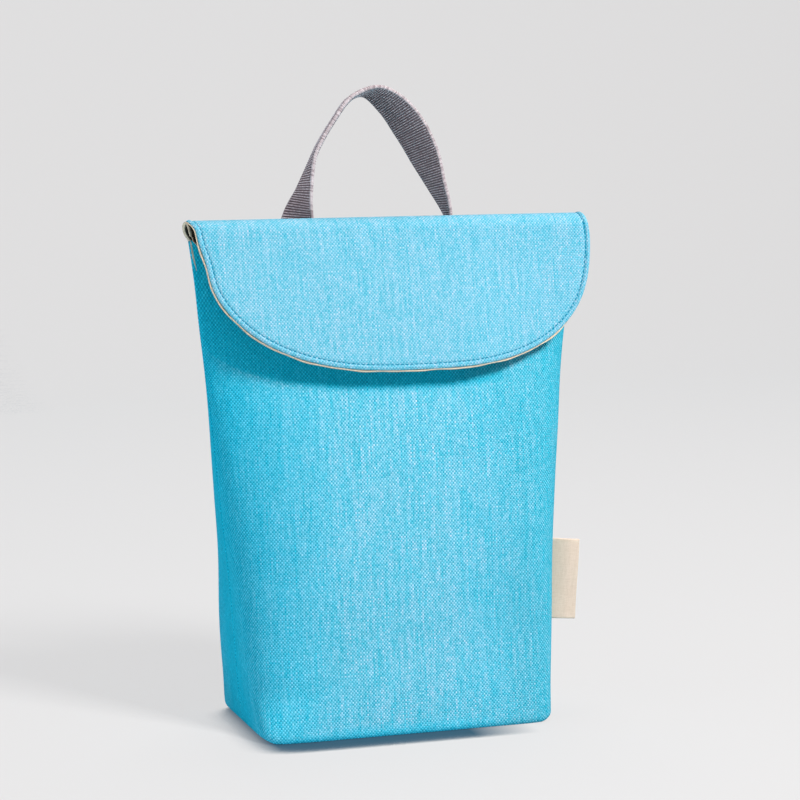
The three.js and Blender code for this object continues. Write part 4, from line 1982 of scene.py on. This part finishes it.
@dataclass
class Tag:
    """A blank folded tape that stands out of the right side seam.

    Attributes:
        pouch: the pouch that it is sewn to.
        low: height of its lower edge at the seam.
        high: height of its upper edge at the seam.
        end: how far to the right its fold begins.
        lean: how much further the fold stands out for each millimetre of height.
        droop: how far the fold hangs below the seam.
        swing: how far the fold swings to the front, or below 0 to the back.
        ripple: how far its edges ripple.
        cloth: thickness of the tape.
        layer_gap: distance between its two layers.
        tucked: how far it starts inside the seam.
        rows: rows of points down the tape.
        columns: points along each layer.
        fold_steps: points round the fold.
        rim_bulge: how far the middle of its rim stands out.
    """

    pouch: Pouch
    low: float = 54.5
    high: float = 104.5
    end: float = 125.3
    lean: float = 0.05
    droop: float = 3.2
    swing: float = -2.0
    ripple: float = 0.35
    cloth: float = 0.8
    layer_gap: float = 0.7
    tucked: float = 0.9
    rows: int = 60
    columns: int = 26
    fold_steps: int = 10
    rim_bulge: float = 0.2

    def build(self) -> tuple[Piece, float]:
        """Makes the tape: out from the seam, round the fold, and home.

        Returns:
            The piece and the length of the tape.
        """
        z = np.linspace(self.high, self.low, self.rows)
        width = self.high - self.low
        root = self.pouch.section(z)[:, 0] - self.tucked
        tip = self.end + self.lean * (z - (self.high + self.low) / 2)
        share = np.linspace(0, 1, self.columns)
        ripple = self.ripple * np.sin((z - self.low) / width * 2 * math.pi)
        x = root[:, None] + (tip - root)[:, None] * share
        y = -self.swing * share**2 + ripple[:, None] * share
        height = z[:, None] - self.droop * share
        turn = np.linspace(-math.pi / 2, math.pi / 2, self.fold_steps + 2)[1:-1]
        fold_height = np.repeat(height[:, -1:], len(turn), axis=1)
        faces = []
        for side in (1, -1):
            radius = (self.layer_gap + self.cloth + side * self.cloth) / 2
            front, back = (np.stack([x, y + away, height], axis=-1) for away in (-radius, radius))
            fold_x = x[:, -1:] + radius * np.cos(turn)
            fold_y = y[:, -1:] + radius * np.sin(turn)
            fold = np.stack([fold_x, fold_y, fold_height], axis=-1)
            faces.append(np.concatenate([front, fold, back[:, ::-1]], axis=1))
        outer, inner = faces
        joined = grid_topology(*outer.shape[:2])
        run = np.stack([path_length(row) for row in outer])
        flat = np.stack([run, np.broadcast_to(z[:, None], run.shape)], axis=-1).reshape(-1, 2)
        outer, inner = outer.reshape(-1, 3), inner.reshape(-1, 3)
        return cloth_wall("tag_tape", outer, inner, flat, joined, self.rim_bulge), float(run[:, -1].max())

    def dressed(self, effects: ClothEffects) -> list[Piece]:
        """Makes the tape in its finish.

        Args:
            effects: the shared node groups.

        Returns:
            The piece, in a list.
        """
        tape, length = self.build()
        dress(tape, TAG_TAPE.material(effects))
        settle(tape, "tag_tape", "label_tag")
        return [tape]


@dataclass
class Studio:
    """Camera at the photograph's view, a plain pale floor that sweeps up behind, and soft light.

    Attributes:
        azimuth: degrees that the camera stands round from the front.
        distance: distance of the camera from the bag's middle, on the floor.
        eye_height: height of the camera.
        look_across: place to the right of the bag's middle that it looks at.
        look_height: height that it looks at.
        focal_pixels: focal length in pixels of the photograph.
        frame_pixels: width of the photograph in pixels.
        sensor: width of the camera's sensor.
        floor_half: half of the floor's width.
        sweep_start: distance behind the bag where the floor begins to rise.
        sweep_radius: radius of that rise.
        sweep_steps: points round it.
        wall_height: height of the wall that it ends in.
        floor_colour: colour of the floor that the camera sees.
        floor_glow: strength of its own light.
        floor_roughness: roughness of the floor.
        contact_colour: colour of the shade where the bag stands.
        contact_reach: reach of that shade.
        contact_depth: how fast it deepens.
        contact_samples: rays that find it.
        contact_towards: direction in which the bag closes off the floor.
        contact_sides: for left and right, two places across in metres and the shade's share at them.
        bounce_colour: colour of the light that the floor throws back.
        world_colour: colour of the surrounding light.
        world_strength: its strength.
        backdrop_colour: colour behind the floor that the camera sees.
        lights: name, place, size, power and colour of each lamp.
    """

    azimuth: float = -18.2
    distance: float = 1576.0
    eye_height: float = 409.0
    look_across: float = 8.2
    look_height: float = 195.0
    focal_pixels: float = 2628.0
    frame_pixels: float = 800.0
    sensor: float = 36.0
    floor_half: float = 3000.0
    sweep_start: float = 1400.0
    sweep_radius: float = 900.0
    sweep_steps: int = 96
    wall_height: float = 3200.0
    floor_colour: Colour = (0.12, 0.118, 0.118, 1)
    floor_glow: float = 5.2
    floor_roughness: float = 0.9
    contact_colour: Colour = (0.003, 0.013, 0.022, 1)
    contact_reach: float = 21.0
    contact_depth: float = 12.0
    contact_samples: int = 8
    contact_towards: tuple[float, float, float] = (-0.45, 0.83, 0.35)
    contact_sides: tuple = ((-0.1, -0.084, 0.36, 1.0), (0.035, 0.075, 1.0, 0.0))
    bounce_colour: Colour = (0.36, 0.54, 0.6, 1)
    world_colour: Colour = (0.84, 0.88, 1.0, 1)
    world_strength: float = 0.14
    backdrop_colour: Colour = (0.72, 0.73, 0.73, 1)
    lights: tuple = (
        ("key", (950, -1500, 1900), (600, 600), 95.0, (1.0, 0.99, 0.97)),
        ("fill", (-1950, -250, 260), (1400, 450), 17.5, (0.88, 0.94, 1.0)),
        ("top", (300, 700, 2000), (1000, 1000), 13.0, (1.0, 1.0, 1.0)),
    )

    @staticmethod
    def aim(thing: Piece, place: Vector, target: Vector) -> None:
        """Puts a camera or a lamp in its place and turns it to a target."""
        thing.location = place
        thing.rotation_euler = (target - place).to_track_quat("-Z", "Y").to_euler()

    def camera(self) -> None:
        """Sets the camera."""
        turn = math.radians(self.azimuth)
        x, y = math.sin(turn) * self.distance, -math.cos(turn) * self.distance
        place = Vector((x, y, self.eye_height)) * MM
        right = Vector((math.cos(turn), math.sin(turn), 0))
        target = (right * self.look_across + Vector((0, 0, self.look_height))) * MM
        data = bpy.data.cameras.new("photo_view")
        data.sensor_width = self.sensor
        data.lens = self.focal_pixels / self.frame_pixels * self.sensor
        camera = placed("photo_view", data)
        self.aim(camera, place, target)
        bpy.context.scene.camera = camera

    def floor(self) -> None:
        """Lays the floor with its sweep."""
        turn = np.linspace(0, math.pi / 2, self.sweep_steps)
        back = self.sweep_start + self.sweep_radius * np.sin(turn)
        bend = np.stack([back, self.sweep_radius * (1 - np.cos(turn))], axis=1)
        line = np.vstack([(-self.floor_half, 0), bend, (bend[-1, 0], self.wall_height)])
        count = len(line)
        sides = [np.column_stack([np.full(count, x), line]) for x in (-self.floor_half, self.floor_half)]
        faces = [(k, k + count, k + count + 1, k + 1) for k in range(count - 1)]
        mesh = bpy.data.meshes.new("floor")
        mesh.from_pydata((np.vstack(sides) * MM).tolist(), [], faces)
        mesh.shade_smooth()
        floor = placed("floor", mesh)
        dress(floor, self._floor_finish())

    def _floor_finish(self) -> Material:
        """A pale floor with a soft shade where the bag stands.

        Returns:
            The material.
        """
        material, make, shader = new_material("pale_floor")
        seen = make.add("ShaderNodeLightPath")["Is Camera Ray"]
        reach = {"Distance": self.contact_reach * MM, "Normal": make.vector(*self.contact_towards)}
        contact = make.add("ShaderNodeAmbientOcclusion", reach, samples=self.contact_samples)["AO"]
        across = make.parts(make.bag_place())["X"]
        closed = make.calc("SUBTRACT", 1.0, make.calc("POWER", contact, self.contact_depth))
        for limits in self.contact_sides:
            closed = make.calc("MULTIPLY", closed, make.span(across, *limits))
        shaded = make.blend(make.calc("SUBTRACT", 1.0, closed), self.contact_colour, self.floor_colour)
        surface = {
            "Base Color": make.blend(seen, self.bounce_colour, shaded),
            "Emission Color": shaded,
            "Emission Strength": make.calc("MULTIPLY", seen, self.floor_glow),
            "Roughness": self.floor_roughness,
        }
        make.fill(shader, surface)
        return material

    def light(self) -> None:
        """Sets the lamps and the surrounding light."""
        target = Vector((0, 0, self.look_height * MM))
        for name, place, size, power, colour in self.lights:
            data = bpy.data.lights.new(name, "AREA")
            data.shape = "RECTANGLE"
            data.size, data.size_y = (side * MM for side in size)
            data.energy = power
            data.color = colour
            self.aim(placed(name, data), Vector(place) * MM, target)
        world = bpy.data.worlds.new("studio")
        world.use_nodes = True
        make = NodeMaker(world.node_tree)
        seen = make.add("ShaderNodeLightPath")["Is Camera Ray"]
        sky = {
            "Color": make.blend(seen, self.world_colour, self.backdrop_colour),
            "Strength": make.span(seen, 0.0, 1.0, self.world_strength, 1.0),
        }
        make.fill(world.node_tree.nodes["Background"], sky)
        bpy.context.scene.world = world
        bpy.context.scene.view_settings.view_transform = "Standard"


def main() -> None:
    """Builds the bag sub-assembly by sub-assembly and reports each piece."""
    logging.basicConfig(level=logging.INFO, format="%(message)s")
    studio = Studio()
    studio.camera()
    studio.floor()
    studio.light()
    effects = ClothEffects()
    stitching = Stitching()

    pouch = Pouch()
    panels = pouch.dressed(effects)
    flap = Flap(pouch).dressed(effects, stitching, panels[Half.FRONT])
    handle = Handle(pouch).dressed(effects, stitching)
    tag = Tag(pouch).dressed(effects)
    for piece in (*panels.values(), *flap, *handle, *tag):
        log.info("%s: %d faces", piece.name, len(piece.data.polygons))

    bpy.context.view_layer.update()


if __name__ == "__main__":
    main()
